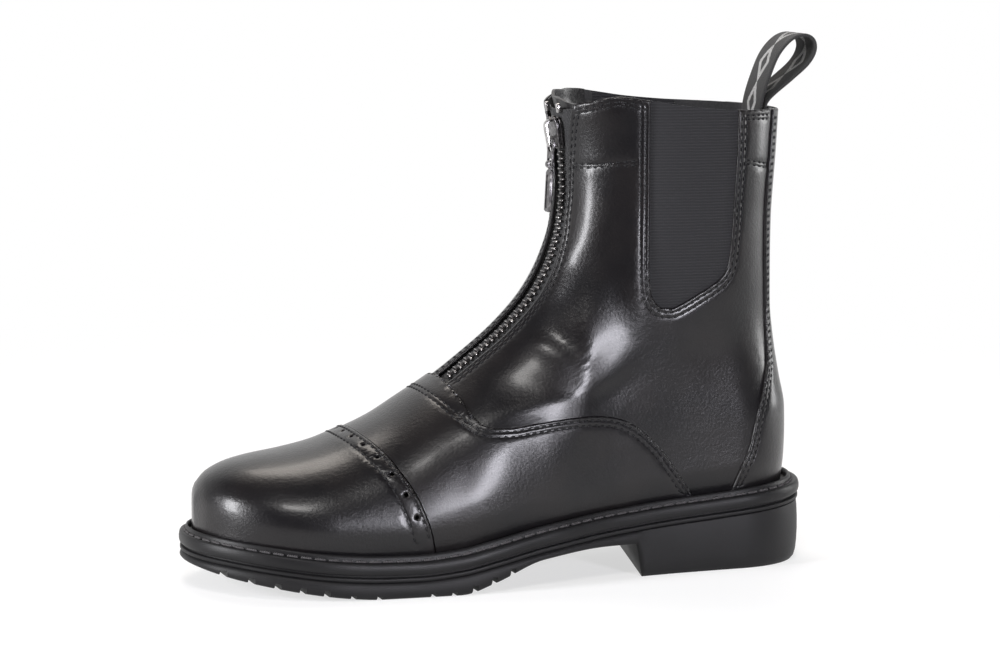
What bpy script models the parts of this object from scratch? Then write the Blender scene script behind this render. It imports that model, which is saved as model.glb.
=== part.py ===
"""Paddock boot with a front zip, left foot: toe along -X, outer side along -Y, standing on its sole."""

import math

import bmesh
import bpy
import numpy as np

# Driving sizes, in metres
SOLE_LENGTH = 0.277
BALL_WIDTH = 0.101
LEG_HEIGHT = 0.1985

# The last's own tables are in millimetres, for a last of these three sizes
TABLE_LENGTH = 277.0
TABLE_BALL = 101.0
TABLE_LEG = 198.5
SCALE = np.array([SOLE_LENGTH / TABLE_LENGTH, BALL_WIDTH / TABLE_BALL, LEG_HEIGHT / TABLE_LEG])
CENTRE = np.array([1.04, -0.98, 0.0])   # middle of the whole boot on the floor, which goes to the origin

# Thicknesses and clearances, in the tables' millimetres
GAP = 0.3               # between pieces that touch
WALL = 2.2              # quarter leather and lining together
ELASTIC = (-2.1, -0.8)  # inner and outer face of the elastic
VAMP_TOP = 1.3          # outer face of the vamp over the quarter's face
CAP_TOP = 1.9           # outer face of the toe cap over it
COUNTER_TOP = 1.3       # outer face of the heel counter over it
TAPE_TOP = -(WALL + GAP)
TAPE_THICK = 0.8
GUARD_TOP = TAPE_TOP - TAPE_THICK - GAP
GUARD_THICK = 1.5
WELT_DEPTH = 5.2        # from the welt's top to the outsole
INSOLE_LIFT = -0.4      # insole's top from the welt's top

# Mesh density
SIDE_COLUMNS = 21       # from ridge to back, on each side
RINGS = 18              # from feather line to collar
SOLE_STATIONS = 27

# Outline of the sole: x, half width on the outer side, half width on the inner side
PLAN = [(-139, 42, 46), (-100, 47.5, 49.5), (-55, 51, 50), (-28, 52, 47), (5, 48, 38.5),
        (40, 40.5, 34), (75, 37, 34.5), (110, 36, 35), (138, 36, 36)]
TOE_X = -139.5
HEEL_X = 137.5
TOE_ROUND = 58.0        # length over which the toe closes
HEEL_ROUND = 37.0
BREAST = (50.0, 53.0)   # top and bottom of the heel's breast on the outer side
BREAST_SLANT = 17.0     # how much further back the breast lies on the inner side
BALL = (-70.0, -34.0)   # ends of the flat tread

# Side view of the sole: x, height of the welt's top, height of the tread
RISE = [(-140, 22.9, 11.4), (-130, 22.0, 8.8), (-108, 19.3, 4.6), (-92, 17.3, 2.1), (-78, 16.0, 0.5),
        (-70, 15.5, 0), (-52, 15.2, 0), (-34, 16.6, 0), (-19, 19.4, 4), (4, 23.6, 12), (33, 27.0, 14.4),
        (50, 28.5, 14.2), (53, 28.8, 0), (91, 31.6, 0), (115, 33.6, 0), (138, 35.2, 0)]

# Ridge of the upper from toe to collar, and its back from heel to collar: x, height
RIDGE = [(-132.8, 22.6), (-132.95, 29), (-133.1, 36.0), (-130.2, 43.6), (-121.5, 49.1), (-109.6, 52.0),
         (-94.8, 54.2), (-80.3, 57.3), (-67.3, 62.2), (-54.2, 68.1), (-41.5, 76.1), (-29.5, 83.7),
         (-17.2, 92.9), (-1.1, 106.0), (11.7, 119.9), (19.8, 134.4), (24.4, 148.9), (25.8, 164),
         (25.2, 179), (23.3, 190), (20.9, 198.5)]
BACK = [(128.3, 34.8), (128.9, 44), (129.2, 55), (128.9, 67), (126.2, 81), (123.3, 97), (121.1, 114),
        (120.0, 150), (121.6, 180), (122.4, 197.3)]
UPPER_FRONT = -133.15
UPPER_BACK = 129.25
SLOPE_ROWS = slice(2, 18)   # rows of RIDGE that climb from the toe to the leg
ABOVE_SLOPE = 8.0           # the ridge's slope behind the leg's front

# How the upper fills out: lengths and shares over which it closes at its ends
TOE_FILL, HEEL_FILL = 50.0, 31.0
HEEL_SHIFT = (20.0, 110.0)  # stretch of x over which the foot's widths follow the back
LEG_FRONT, LEG_BACK = 0.52, 0.45        # shares of the leg's depth
TOP_POWER, FRONT_POWER, BACK_POWER = 2.2, 2.25, 2.3
SAG_TOP = 0.42              # share of the height by which the feather line's sag has faded
COLLAR_LOW = 0.72           # share of the height from which the collar's curve starts

# Curve of the collar: share of the way from ridge to back, lift
COLLAR = [(0, 0), (0.1, 3.6), (0.2, 5.8), (0.32, 4.4), (0.5, 2), (0.7, 0.6), (1, 0)]

# Width of the foot: x, outer half, inner half, depth over which the top rounds over
FOOT = [(-135, 36, 40, 15), (-118, 39.5, 42.5, 24), (-100, 41.5, 43, 30), (-75, 43.8, 43.6, 37),
        (-55, 44.8, 43, 45), (-28, 45.2, 39.8, 57), (5, 41.8, 33.6, 73), (40, 35.4, 31, 84),
        (75, 32.0, 30.5, 90), (110, 31.2, 31, 90), (130, 31.2, 31.2, 90)]
# Width of the leg: height, half width
LEG = [(30, 31.5), (60, 32), (80, 32.5), (100, 33.5), (125, 35), (150, 36), (205, 37.5)]
TUCK = 2.2              # how far the upper draws in at the feather line
TUCK_HEIGHT = 14.0
ANKLE = (62.0, 126.0)   # heights between which foot turns into leg

# Seams in side view: x, height, from the ridge or collar down to the feather line
CAP_SEAM = [(-68, 70), (-66.5, 63), (-63.3, 59.4), (-59.7, 55), (-56.2, 49.5), (-53.3, 44.9),
            (-50.7, 39.6), (-47.8, 32.6), (-45.7, 26.6), (-43.9, 20.4), (-42, 10)]
VAMP_SEAM = [(-34, 96), (-28.5, 85), (-26.2, 77.9), (-24.0, 73), (-20.6, 68.8), (-15.9, 67.1),
             (-8.9, 67.1), (2.1, 68.4), (13.3, 69.7), (25.7, 70.4), (35, 69.7), (41.9, 68.2),
             (50.4, 63.8), (58.2, 57.4), (62.6, 52.8), (66.5, 47.8), (70.9, 41.9), (75.4, 36), (84, 22)]
COUNTER_SEAM = [(114.2, 210), (112.9, 182), (111.4, 160), (112.4, 134), (114.6, 108), (114.4, 90),
                (111.2, 78), (106.9, 65.4), (103.7, 53), (99.8, 43.7), (95, 30)]
GUSSET = [(52.9, 215), (53.7, 188), (54.3, 160), (54.6, 130), (55.5, 121.5), (57.8, 117), (61, 114.6),
          (65, 114.3), (70, 116.2), (77, 120), (84.2, 124), (88.7, 127.4), (91.3, 132), (92.3, 140),
          (93.2, 160), (94, 185), (93.9, 215)]

# Front opening for the zip: height, middle, half width; the zip swings to the outer side lower down
SLOT = [(84.2, -4.6, 7.0), (107, -4.6, 7.0), (118, -4.5, 7.0), (128, -3.9, 7.0), (137, -2.8, 7.0),
        (150, -1.0, 7.0), (165, -0.5, 7.6), (178, 0, 9.3), (190, 0, 12.6), (199, 0, 16.5), (215, 0, 20.5)]

# Cross-section of the welt: share of the way from sole edge to feather line, height over its top
WELT_ROWS = [(1.45, -WELT_DEPTH), (0.10, -WELT_DEPTH), (0, -4.2), (0, -1.4), (0.12, 0), (0.30, 0),
             (0.34, -0.7), (0.37, 0), (0.40, 1.5), (0.48, 2.4), (0.57, 2.1), (0.62, -0.3), (1.45, -0.3)]
INSOLE_SHARE = 1.5

# Cross-section of the outsole's wall: inset from the outline, height under the welt's top
WALL_ROWS = [(1.6, 5.5), (1.6, 6.2), (0.3, 6.6), (0.3, 7.8), (1.5, 8.2), (0.9, 8.9)]
# and below them: inset, share of the way down to the tread
LOW_ROWS = [(0.2, 0.45), (0.7, 0.85), (2.2, 1.0)]

# Tread: grooves across the sole and notches in its edges
GROOVES = [-129, -119.5, -110, -100.5, -91, -28, -19.5, -11]
NOTCHES = [-80, -69, -46, -37]
GROOVE_WIDTH = 3.0
GROOVE_DEPTH = 3.0
NOTCH_DEPTH = 1.8
NOTCH_REACH = 12.0
HEEL_POCKETS = [(73, 84), (90, 101), (107, 118)]
POCKET_HALF = 21.0
POCKET_DEPTH = 3.0
DRAFT = 0.4             # how far a groove's walls lean

# Reach of the cutters past the boot
SIDE_REACH, FRONT_REACH, LOW_REACH, BORE_REACH = 80.0, 60.0, 6.0, 4.0

# Zip: teeth, slider, link and tab
TEETH_HALF = 2.8
TEETH_INSET = 0.6       # from the upper's face to the top of the teeth
TEETH_Z = (85.8, 180.0)
TAPE_HALF = 14.5
TAPE_Z = (81.0, 197.0)
GUARD_HALF = 20.0
GUARD_Z = (86.0, 203.0)
GUARD_RISE = 6.0        # how far the guard stands over the collar
FORK = [(-0.1, 190), (-10, 212), (10, 212), (0.1, 190)]     # gap between the tape's two halves
SLIDER_Z = 187.0
BODY_BACK, BODY_FRONT = -1.9, 0.6       # distance out from the ridge
BRIDGE_INNER, BRIDGE_OUTER = 3.0, 4.2
BRIDGE_HALF = 1.4
BRIDGE_SINK = 0.6                       # how deep the bridge's feet go into the body
SHIELD = [(2.0, 7.0), (4.6, 5.8), (5.4, 3.4), (4.8, -0.4), (3.8, -4.6), (3.4, -6.6)]
BRIDGE = [(2.4, 5.9), (BRIDGE_OUTER, 4.0), (BRIDGE_OUTER, -4.2), (2.6, -6.0)]      # out, up
BRIDGE_UNDER = [(2.0, -4.2), (BRIDGE_INNER, -3.2), (BRIDGE_INNER, 3.0), (1.9, 4.4)]
BRIDGE_FOOT = [(-6.2, -4.2), (4.6, 6.2)]                # heights of its lower and upper foot
LINK_OUT, LINK_UP = 1.8, -1.5           # link's pivot, out from the ridge and up from SLIDER_Z
EYE_DROP, EYE_OUTER, EYE_HOLE = 3.4, 4.0, 2.8
LINK_LENGTH = 11.6                      # from the link's pivot to the tab's
LINK_THICK = 1.0
LINK_HALF = 2.9
LINK_END = 0.6                          # how far the link reaches past the tab's pivot
BAR_HALF, BAR_LOW, BAR_HIGH = 1.9, 0.55, 2.5            # slot over the bar that carries the tab
TAB_HALF = 3.1
TAB_LENGTH = 20.4
TAB_THICK = 1.2
TAB_CORNER = 0.5
NECK_HALF, NECK_TOP, NECK_LOW = 1.5, -1.0, -2.4         # neck between the curl and the tab
CURL_OUTER, CURL_BORE, CURL_HALF = 1.75, 1.05, 1.5
HANG_LEAN = math.radians(2.6)           # link and tab lie forward along the teeth

# Pull loop: path of the webbing's middle in side view
LOOP_PATH = [(115.5, 181), (115.4, 192), (116.3, 200.5), (119.2, 210), (123.5, 219.8), (129.5, 226.3),
             (135.5, 228.3), (140.0, 226.4), (140.9, 221.6), (137.6, 215.8), (130.0, 209.3),
             (122.6, 203.6), (119.0, 200.2), (117.6, 197), (117.4, 190), (117.4, 181)]
LOOP_HALF = 10.0
LOOP_THICK = 1.4

# Colours: base colour, roughness, metallic
FINISH = {
    "black_leather": ((0.018, 0.016, 0.018), 0.32, 0.0),
    "black_rubber": ((0.022, 0.022, 0.024), 0.55, 0.0),
    "insole_textile": ((0.03, 0.03, 0.03), 0.9, 0.0),
    "black_elastic": ((0.012, 0.012, 0.014), 0.8, 0.0),
    "zip_textile": ((0.01, 0.01, 0.01), 0.85, 0.0),
    "gunmetal": ((0.20, 0.19, 0.20), 0.3, 1.0),
    "webbing": ((0.012, 0.012, 0.012), 0.8, 0.0),
}


def smooth(x, table, column):
    """Read a column of a table at x, on a curve that never overshoots its points."""
    rows = np.asarray(table, float)
    x_points, values = rows[:, 0], rows[:, column]
    step = np.diff(x_points)
    slope = np.diff(values) / step
    tangent = np.zeros_like(values)
    same_way = slope[:-1] * slope[1:] > 0
    before = np.where(same_way, slope[:-1], 1.0)
    after = np.where(same_way, slope[1:], 1.0)
    weight_a = 2 * step[1:] + step[:-1]
    weight_b = step[1:] + 2 * step[:-1]
    mean = (weight_a + weight_b) / (weight_a / before + weight_b / after)
    tangent[1:-1] = np.where(same_way, mean, 0.0)
    tangent[0], tangent[-1] = slope[0], slope[-1]
    x = np.asarray(x, float)
    i = np.clip(np.searchsorted(x_points, x) - 1, 0, len(step) - 1)
    t = np.clip((x - x_points[i]) / step[i], 0, 1)
    return (values[i] * (1 + 2 * t) * (1 - t) ** 2 + tangent[i] * step[i] * t * (1 - t) ** 2
            + values[i + 1] * t * t * (3 - 2 * t) + tangent[i + 1] * step[i] * t * t * (t - 1))


def swell(share, power=2.15):
    """Rounded rise from 0 to 1, steep at 0 and level from 1 on."""
    share = np.clip(share, 0, 1)
    return (1 - (1 - share) ** power) ** (1 / power)


def ramp(x, low, high):
    t = np.clip((x - low) / (high - low), 0, 1)
    return t * t * (3 - 2 * t)


def outline(x, side, inset=0.0):
    """Half width of the sole at x, on the outer (-1) or inner (1) side."""
    half = smooth(x, PLAN, 1 if side < 0 else 2) - inset
    return half * swell((x - TOE_X - inset) / TOE_ROUND) * swell((HEEL_X - inset - x) / HEEL_ROUND)


def welt_top(x):
    return smooth(x, RISE, 1)


def ridge_height(x):
    """Height of the ridge over x, running on upward behind the leg's front."""
    rows = RIDGE[SLOPE_ROWS]
    return smooth(x, rows, 1) + np.maximum(x - rows[-1][0], 0) * ABOVE_SLOPE


def column_at_height(table, z):
    return smooth(z, [(row[1], row[0]) for row in table], 1)


def half_width(x, z, side):
    """Half width of the upper at a point of its side view."""
    back = column_at_height(BACK, z)
    front = column_at_height(RIDGE, z)
    column = 1 if side < 0 else 2
    x_foot = x + (UPPER_BACK - back) * ramp(x, *HEEL_SHIFT)
    width = smooth(x_foot, FOOT, column) - TUCK * (1 - ramp(z - welt_top(x), 0, TUCK_HEIGHT))
    rounding = smooth(x_foot, FOOT, 3)
    foot = (width * swell((x - UPPER_FRONT) / TOE_FILL) * swell((UPPER_BACK - x_foot) / HEEL_FILL)
            * swell((ridge_height(x) - z) / rounding, TOP_POWER))
    depth = back - front
    leg = (smooth(z, LEG, 1) * swell((x - front) / (LEG_FRONT * depth), FRONT_POWER)
           * swell((back - x) / (LEG_BACK * depth), BACK_POWER))
    share = ramp(z, *ANKLE)
    return foot * (1 - share) + leg * share


def along(table, share):
    """Point at a share of a profile's length."""
    rows = np.asarray(table, float)
    lengths = np.r_[0, np.cumsum(np.hypot(*np.diff(rows, axis=0).T))]
    marks = np.column_stack([lengths / lengths[-1], rows])
    return smooth(share, marks, 1), smooth(share, marks, 2)


def side_point(across, up):
    """Side-view point of the upper: across 0 at the ridge to 1 at the back, up 0 to 1."""
    x_front, z_front = along(RIDGE, up)
    x_back, z_back = along(BACK, up)
    x = x_front + (x_back - x_front) * across
    z = z_front + (z_back - z_front) * across
    low_share = (x - RIDGE[0][0]) / (BACK[0][0] - RIDGE[0][0])
    base = RIDGE[0][1] + (BACK[0][1] - RIDGE[0][1]) * low_share
    sag = (base - welt_top(x) - GAP) * (1 - ramp(up, 0, SAG_TOP))
    fade = 1 - (1 - 4 * across * (1 - across)) ** 3
    return x, z - sag * fade + smooth(across, COLLAR, 1) * ramp(up, COLLAR_LOW, 1)


def skin(turn, up):
    """Point of the quarter's outer face: turn -pi at the back, 0 at the ridge, pi at the back."""
    x, z = side_point((1 - np.cos(turn)) / 2, up)
    y = np.where(turn < 0, -half_width(x, z, -1), half_width(x, z, 1))
    return np.stack([x, y, z], axis=-1)


def skin_grid(offset, rise=0.0):
    """Rings of points at a distance out from the quarter's face."""
    turns = np.linspace(-math.pi, math.pi, 2 * SIDE_COLUMNS + 1)[:-1]
    ups = np.linspace(0, 1, RINGS)
    up, turn = np.meshgrid(ups, turns, indexing="ij")
    points = skin(turn, up)
    around = np.roll(points, -1, axis=1) - np.roll(points, 1, axis=1)
    upward = np.gradient(points, axis=0)
    normal = np.cross(upward, around)
    normal /= np.linalg.norm(normal, axis=-1, keepdims=True)
    points = points + normal * offset
    if rise:
        points = np.concatenate([points, points[-1:] + np.array([0, 0, rise])])
    return points


def finish_material(name):
    colour, roughness, metallic = FINISH[name]
    material = bpy.data.materials.new(name)
    material.use_nodes = True
    shader = material.node_tree.nodes["Principled BSDF"]
    shader.inputs["Base Color"].default_value = (*colour, 1.0)
    shader.inputs["Roughness"].default_value = roughness
    shader.inputs["Metallic"].default_value = metallic
    return material


def add_object(name, mesh, finish=None):
    obj = bpy.data.objects.new(name, mesh)
    bpy.context.scene.collection.objects.link(obj)
    if finish:
        mesh.materials.append(finish_material(finish))
        mesh.set_sharp_from_angle(angle=math.radians(40))
    return obj


def solid(name, points, faces, finish=None, about=(0, 0, 0)):
    """Closed mesh from table points and faces, with its origin at a table point."""
    about = np.asarray(about, float)
    mesh = bpy.data.meshes.new(name)
    scaled = (np.asarray(points, float).reshape(-1, 3) - about) * SCALE
    mesh.from_pydata(scaled.tolist(), [], faces)
    shape = bmesh.new()
    shape.from_mesh(mesh)
    bmesh.ops.recalc_face_normals(shape, faces=shape.faces)
    shape.to_mesh(mesh)
    shape.free()
    mesh.shade_smooth()
    obj = add_object(name, mesh, finish)
    obj.location = (about - CENTRE) * SCALE
    return obj


def band(first, second, count):
    """Quads between two closed rows of points that start at these numbers."""
    rows = []
    for i in range(count):
        j = (i + 1) % count
        rows.append((first + i, first + j, second + j, second + i))
    return rows


def triangle_band(first, second, count):
    """Triangles between two closed rows, all split along the same diagonal."""
    rows = []
    for i in range(count):
        j = (i + 1) % count
        rows += [(first + i, first + j, second + j), (first + i, second + j, second + i)]
    return rows


def ring_shell(name, low, high, finish=None, rise=0.0):
    """Shell of the boot's leg and foot between two distances from the quarter's face."""
    outer = skin_grid(high, rise)
    inner = skin_grid(low, rise)
    rings, count = outer.shape[:2]
    inner_start = rings * count
    top = inner_start - count
    faces = band(0, inner_start, count) + band(top, top + inner_start, count)
    for start in (0, inner_start):
        for i in range(rings - 1):
            faces += triangle_band(start + i * count, start + (i + 1) * count, count)
    return solid(name, np.concatenate([outer.reshape(-1, 3), inner.reshape(-1, 3)]), faces, finish)


def prism(name, profile, axis, low, high):
    """Straight prism of a profile along X or Y, used to cut with."""
    profile = np.asarray(profile, float)
    ends = []
    for at in (low, high):
        level = np.full(len(profile), at)
        across, up = profile.T
        columns = (level, across, up) if axis == "X" else (across, level, up)
        ends.append(np.stack(columns, axis=-1))
    count = len(profile)
    faces = [tuple(range(count)), tuple(range(2 * count - 1, count - 1, -1))] + band(0, count, count)
    return solid(name, np.concatenate(ends), faces)


def combine(obj, other, operation):
    """Add a Boolean with another object, which stays as a hidden guide."""
    other.hide_render = True
    other.display_type = "WIRE"
    cut = obj.modifiers.new(other.name, "BOOLEAN")
    cut.operation = operation
    cut.solver = "EXACT"
    cut.object = other


def shifted(seam, distance):
    return [(x + distance, z) for x, z in seam]


def slot_outline(low, high, half=None):
    """Front-view outline round the zip's middle line, as wide as its opening or of a fixed half width."""
    heights = [low] + [row[0] for row in SLOT if low < row[0] < high] + [high]
    middle = smooth(heights, SLOT, 1)
    reach = smooth(heights, SLOT, 2) if half is None else half
    right = list(zip((middle + reach).tolist(), heights))
    left = list(zip((middle - reach).tolist(), heights))
    return right + left[::-1]


def box_outline(half, low, high):
    return [(-half, low), (half, low), (half, high), (-half, high)]


def patch(name, low, high, finish, profile, axis="Y", rise=0.0):
    """Piece of a shell that lies inside a prism."""
    piece = ring_shell(name, low, high, finish, rise)
    reach = SIDE_REACH if axis == "Y" else FRONT_REACH
    combine(piece, prism(name + "_cutter", profile, axis, -reach, reach), "INTERSECT")
    return piece


def shrunk(profile, distance):
    """Profile moved in by a distance along each corner's own normal."""
    points = np.asarray(profile, float)
    edge = np.roll(points, -1, axis=0) - points
    edge /= np.linalg.norm(edge, axis=1, keepdims=True)
    normal = np.column_stack([-edge[:, 1], edge[:, 0]])
    corner = normal + np.roll(normal, 1, axis=0)
    corner /= (corner ** 2).sum(axis=1, keepdims=True) / 2
    area = (points[:, 0] * np.roll(points[:, 1], -1) - points[:, 1] * np.roll(points[:, 0], -1)).sum()
    return points + corner * distance * math.copysign(1, area)


def make_upper():
    upper = ring_shell("upper", -WALL, 0.0, "black_leather")
    opening = slot_outline(SLOT[0][0], SLOT[-1][0])
    combine(upper, prism("slot_cutter", opening, "X", -FRONT_REACH, FRONT_REACH), "DIFFERENCE")
    combine(upper, prism("gusset_cutter", GUSSET, "Y", -SIDE_REACH, SIDE_REACH), "DIFFERENCE")


def make_overlays():
    cap = CAP_SEAM + [(-160, 10), (-160, 90)]
    patch("toe_cap", GAP, CAP_TOP, "black_leather", cap)
    vamp = shifted(CAP_SEAM, GAP) + VAMP_SEAM[::-1]
    patch("vamp", GAP, VAMP_TOP, "black_leather", vamp)
    counter = COUNTER_SEAM + [(150, 30), (150, 210)]
    patch("heel_counter", GAP, COUNTER_TOP, "black_leather", counter)


def make_gussets():
    for name, low, high in (("gusset_outer", -SIDE_REACH, 0), ("gusset_inner", 0, SIDE_REACH)):
        piece = ring_shell(name, *ELASTIC, "black_elastic")
        combine(piece, prism(name + "_cutter", shrunk(GUSSET, GAP), "Y", low, high), "INTERSECT")


def make_zip():
    tape = patch("zip_tape", TAPE_TOP - TAPE_THICK, TAPE_TOP, "zip_textile",
                 slot_outline(*TAPE_Z, TAPE_HALF), "X")
    combine(tape, prism("fork_cutter", FORK, "X", -FRONT_REACH, FRONT_REACH), "DIFFERENCE")
    patch("zip_teeth", TAPE_TOP + GAP, -TEETH_INSET, "gunmetal", slot_outline(*TEETH_Z, TEETH_HALF), "X")
    patch("zip_guard", GUARD_TOP - GUARD_THICK, GUARD_TOP, "black_leather",
          slot_outline(*GUARD_Z, GUARD_HALF), "X", rise=GUARD_RISE)


def circle(y, z, radius, start, end, count):
    angles = np.radians(np.linspace(start, end, count))
    return [(y + radius * math.cos(a), z + radius * math.sin(a)) for a in angles]


def plate(name, profile, back, front, about, finish=None):
    """Plate facing the toe, from a front-view profile given around a point."""
    x, y, z = about
    moved = [(py + y, pz + z) for py, pz in profile]
    count = len(moved)
    points = [(x - back, py, pz) for py, pz in moved] + [(x - front, py, pz) for py, pz in moved]
    faces = [tuple(range(count)), tuple(range(2 * count - 1, count - 1, -1))] + band(0, count, count)
    return solid(name, points, faces, finish, about)


def make_slider():
    """Slider body with its bridge, leaning with the ridge."""
    about = (float(column_at_height(RIDGE, SLIDER_Z)), 0.0, SLIDER_Z)
    shield = SHIELD + [(-y, z) for y, z in reversed(SHIELD)]
    slider = plate("zip_slider", shield, BODY_BACK, BODY_FRONT, about, "gunmetal")
    into = BODY_FRONT - BRIDGE_SINK
    (low_end, low_start), (high_start, high_end) = BRIDGE_FOOT
    arch = [(into, high_end), *BRIDGE, (into, low_end), (into, low_start), *BRIDGE_UNDER, (into, high_start)]
    x, _, z = about
    sides = []
    for y in (-BRIDGE_HALF, BRIDGE_HALF):
        sides += [(x - out, y, z + up) for out, up in arch]
    count = len(arch)
    faces = [tuple(range(count)), tuple(range(2 * count - 1, count - 1, -1))] + band(0, count, count)
    bridge = solid("bridge_guide", sides, faces, None, about)
    lean = ridge_lean(SLIDER_Z)
    for obj in (slider, bridge):
        obj.rotation_euler.y = lean
    combine(slider, bridge, "UNION")


def ridge_lean(z):
    """Angle about Y that turns the vertical along the ridge at a height."""
    step = 5.0
    low, high = column_at_height(RIDGE, z - step), column_at_height(RIDGE, z + step)
    return math.atan2(float(high - low), 2 * step)


def link_pivot():
    lean = ridge_lean(SLIDER_Z)
    x = float(column_at_height(RIDGE, SLIDER_Z))
    return (x - LINK_OUT * math.cos(lean) + LINK_UP * math.sin(lean), 0.0,
            SLIDER_Z + LINK_OUT * math.sin(lean) + LINK_UP * math.cos(lean))


def make_link():
    """Pull link: an eye round the bridge, tapering to a bar that carries the tab."""
    pivot = link_pivot()
    end = -LINK_LENGTH - LINK_END
    profile = circle(0, -EYE_DROP, EYE_OUTER, -35, 215, 17) + [(-LINK_HALF, end), (LINK_HALF, end)]
    link = plate("zip_pull_link", profile, -LINK_THICK / 2, LINK_THICK / 2, pivot, "gunmetal")
    eye = circle(0, -EYE_DROP, EYE_HOLE, 0, 337.5, 16)
    slot = box_outline(BAR_HALF, -LINK_LENGTH + BAR_LOW, -LINK_LENGTH + BAR_HIGH)
    link.rotation_euler.y = HANG_LEAN
    for name, hole in (("eye_cutter", eye), ("bar_cutter", slot)):
        cutter = plate(name, hole, -BORE_REACH, BORE_REACH, pivot)
        cutter.rotation_euler.y = HANG_LEAN
        combine(link, cutter, "DIFFERENCE")


def make_tab():
    """Flat tab whose top curls round the link's bar."""
    x, y, z = link_pivot()
    pivot = (x - LINK_LENGTH * math.sin(HANG_LEAN), y, z - LINK_LENGTH * math.cos(HANG_LEAN))
    profile = [(-NECK_HALF, NECK_TOP), (-NECK_HALF, NECK_LOW), (-TAB_HALF + TAB_CORNER, NECK_LOW),
               (-TAB_HALF, NECK_LOW - TAB_CORNER), (-TAB_HALF, -TAB_LENGTH + TAB_CORNER),
               (-TAB_HALF + TAB_CORNER, -TAB_LENGTH)]
    profile += [(-py, pz) for py, pz in reversed(profile)]
    tab = plate("zip_pull_tab", profile, -TAB_THICK / 2, TAB_THICK / 2, pivot, "gunmetal")
    tab.rotation_euler.y = HANG_LEAN
    combine(tab, cross_rod("curl_guide", pivot, CURL_OUTER, CURL_HALF), "UNION")
    combine(tab, cross_rod("bore_cutter", pivot, CURL_BORE, BORE_REACH), "DIFFERENCE")


def cross_rod(name, about, radius, half):
    """Round rod along Y through a point."""
    sides = 12
    rim = circle(0, 0, radius, 0, 360 - 360 / sides, sides)
    points = [(about[0] + px, side, about[2] + pz) for side in (-half, half) for px, pz in rim]
    caps = [tuple(range(sides)), tuple(range(2 * sides - 1, sides - 1, -1))]
    return solid(name, points, caps + band(0, sides, sides), None, about)


def make_pull_loop():
    """Webbing that rises from inside the collar, turns over and comes down again."""
    path = np.asarray(LOOP_PATH, float)
    direction = np.gradient(path, axis=0)
    direction /= np.linalg.norm(direction, axis=1, keepdims=True)
    normal = np.column_stack([-direction[:, 1], direction[:, 0]]) * LOOP_THICK / 2
    profile = np.concatenate([path + normal, (path - normal)[::-1]])
    count = len(profile)
    points = []
    for side in (-LOOP_HALF, LOOP_HALF):
        points += [(x, side, z) for x, z in profile]
    half = len(path)
    faces = band(0, count, count)
    for start in (0, count):
        faces += [(start + i, start + i + 1, start + count - 2 - i, start + count - 1 - i)
                  for i in range(half - 1)]
    solid("pull_loop", points, faces, "webbing")


def sole_marks():
    """Shares of the sole's length at which its sections are cut, close together at the ends."""
    turns = np.linspace(0, math.pi, SOLE_STATIONS)
    even = (1 - np.cos(turns)) / 2
    fixed = [(x - TOE_X) / (HEEL_X - TOE_X) for x in BREAST + BALL]
    kept = [share for share in even if min(abs(share - mark) for mark in fixed) > 0.012]
    return np.array(sorted(kept + fixed))


def set_back(x):
    """Place on the inner side that is paired with x on the outer side."""
    return x + BREAST_SLANT * ramp(x, 0, BREAST[0]) * (1 - ramp(x, BREAST[1], HEEL_X))


def outline_loop(inset):
    """Closed plan line of the sole, both sides paired at each station."""
    marks = sole_marks()
    x = TOE_X + inset + marks * (HEEL_X - TOE_X - 2 * inset)
    x_inner = set_back(x)
    outer = np.column_stack([x, -outline(x, -1, inset)])
    inner = np.column_stack([x_inner, outline(x_inner, 1, inset)])
    return np.concatenate([outer, inner[-2:0:-1]])


def feather_loop():
    """Closed plan line where the quarter's face meets the welt, paired with the outline."""
    marks = sole_marks()
    x = RIDGE[0][0] + marks * (BACK[0][0] - RIDGE[0][0])
    sides = []
    for side, at in ((-1, x), (1, set_back(x))):
        z = welt_top(at) + GAP
        z[0], z[-1] = RIDGE[0][1], BACK[0][1]
        sides.append(np.column_stack([at, side * half_width(at, z, side)]))
    return np.concatenate([sides[0], sides[1][-2:0:-1]])


def paired_cap(start, stations, count):
    """Faces straight across a closed line whose two sides are paired."""
    other = [0] + [count - i for i in range(1, stations - 1)] + [stations - 1]
    faces = []
    for i in range(stations - 1):
        corners = [start + i, start + i + 1, start + other[i + 1], start + other[i]]
        faces.append(tuple(dict.fromkeys(corners)))
    return faces


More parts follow.
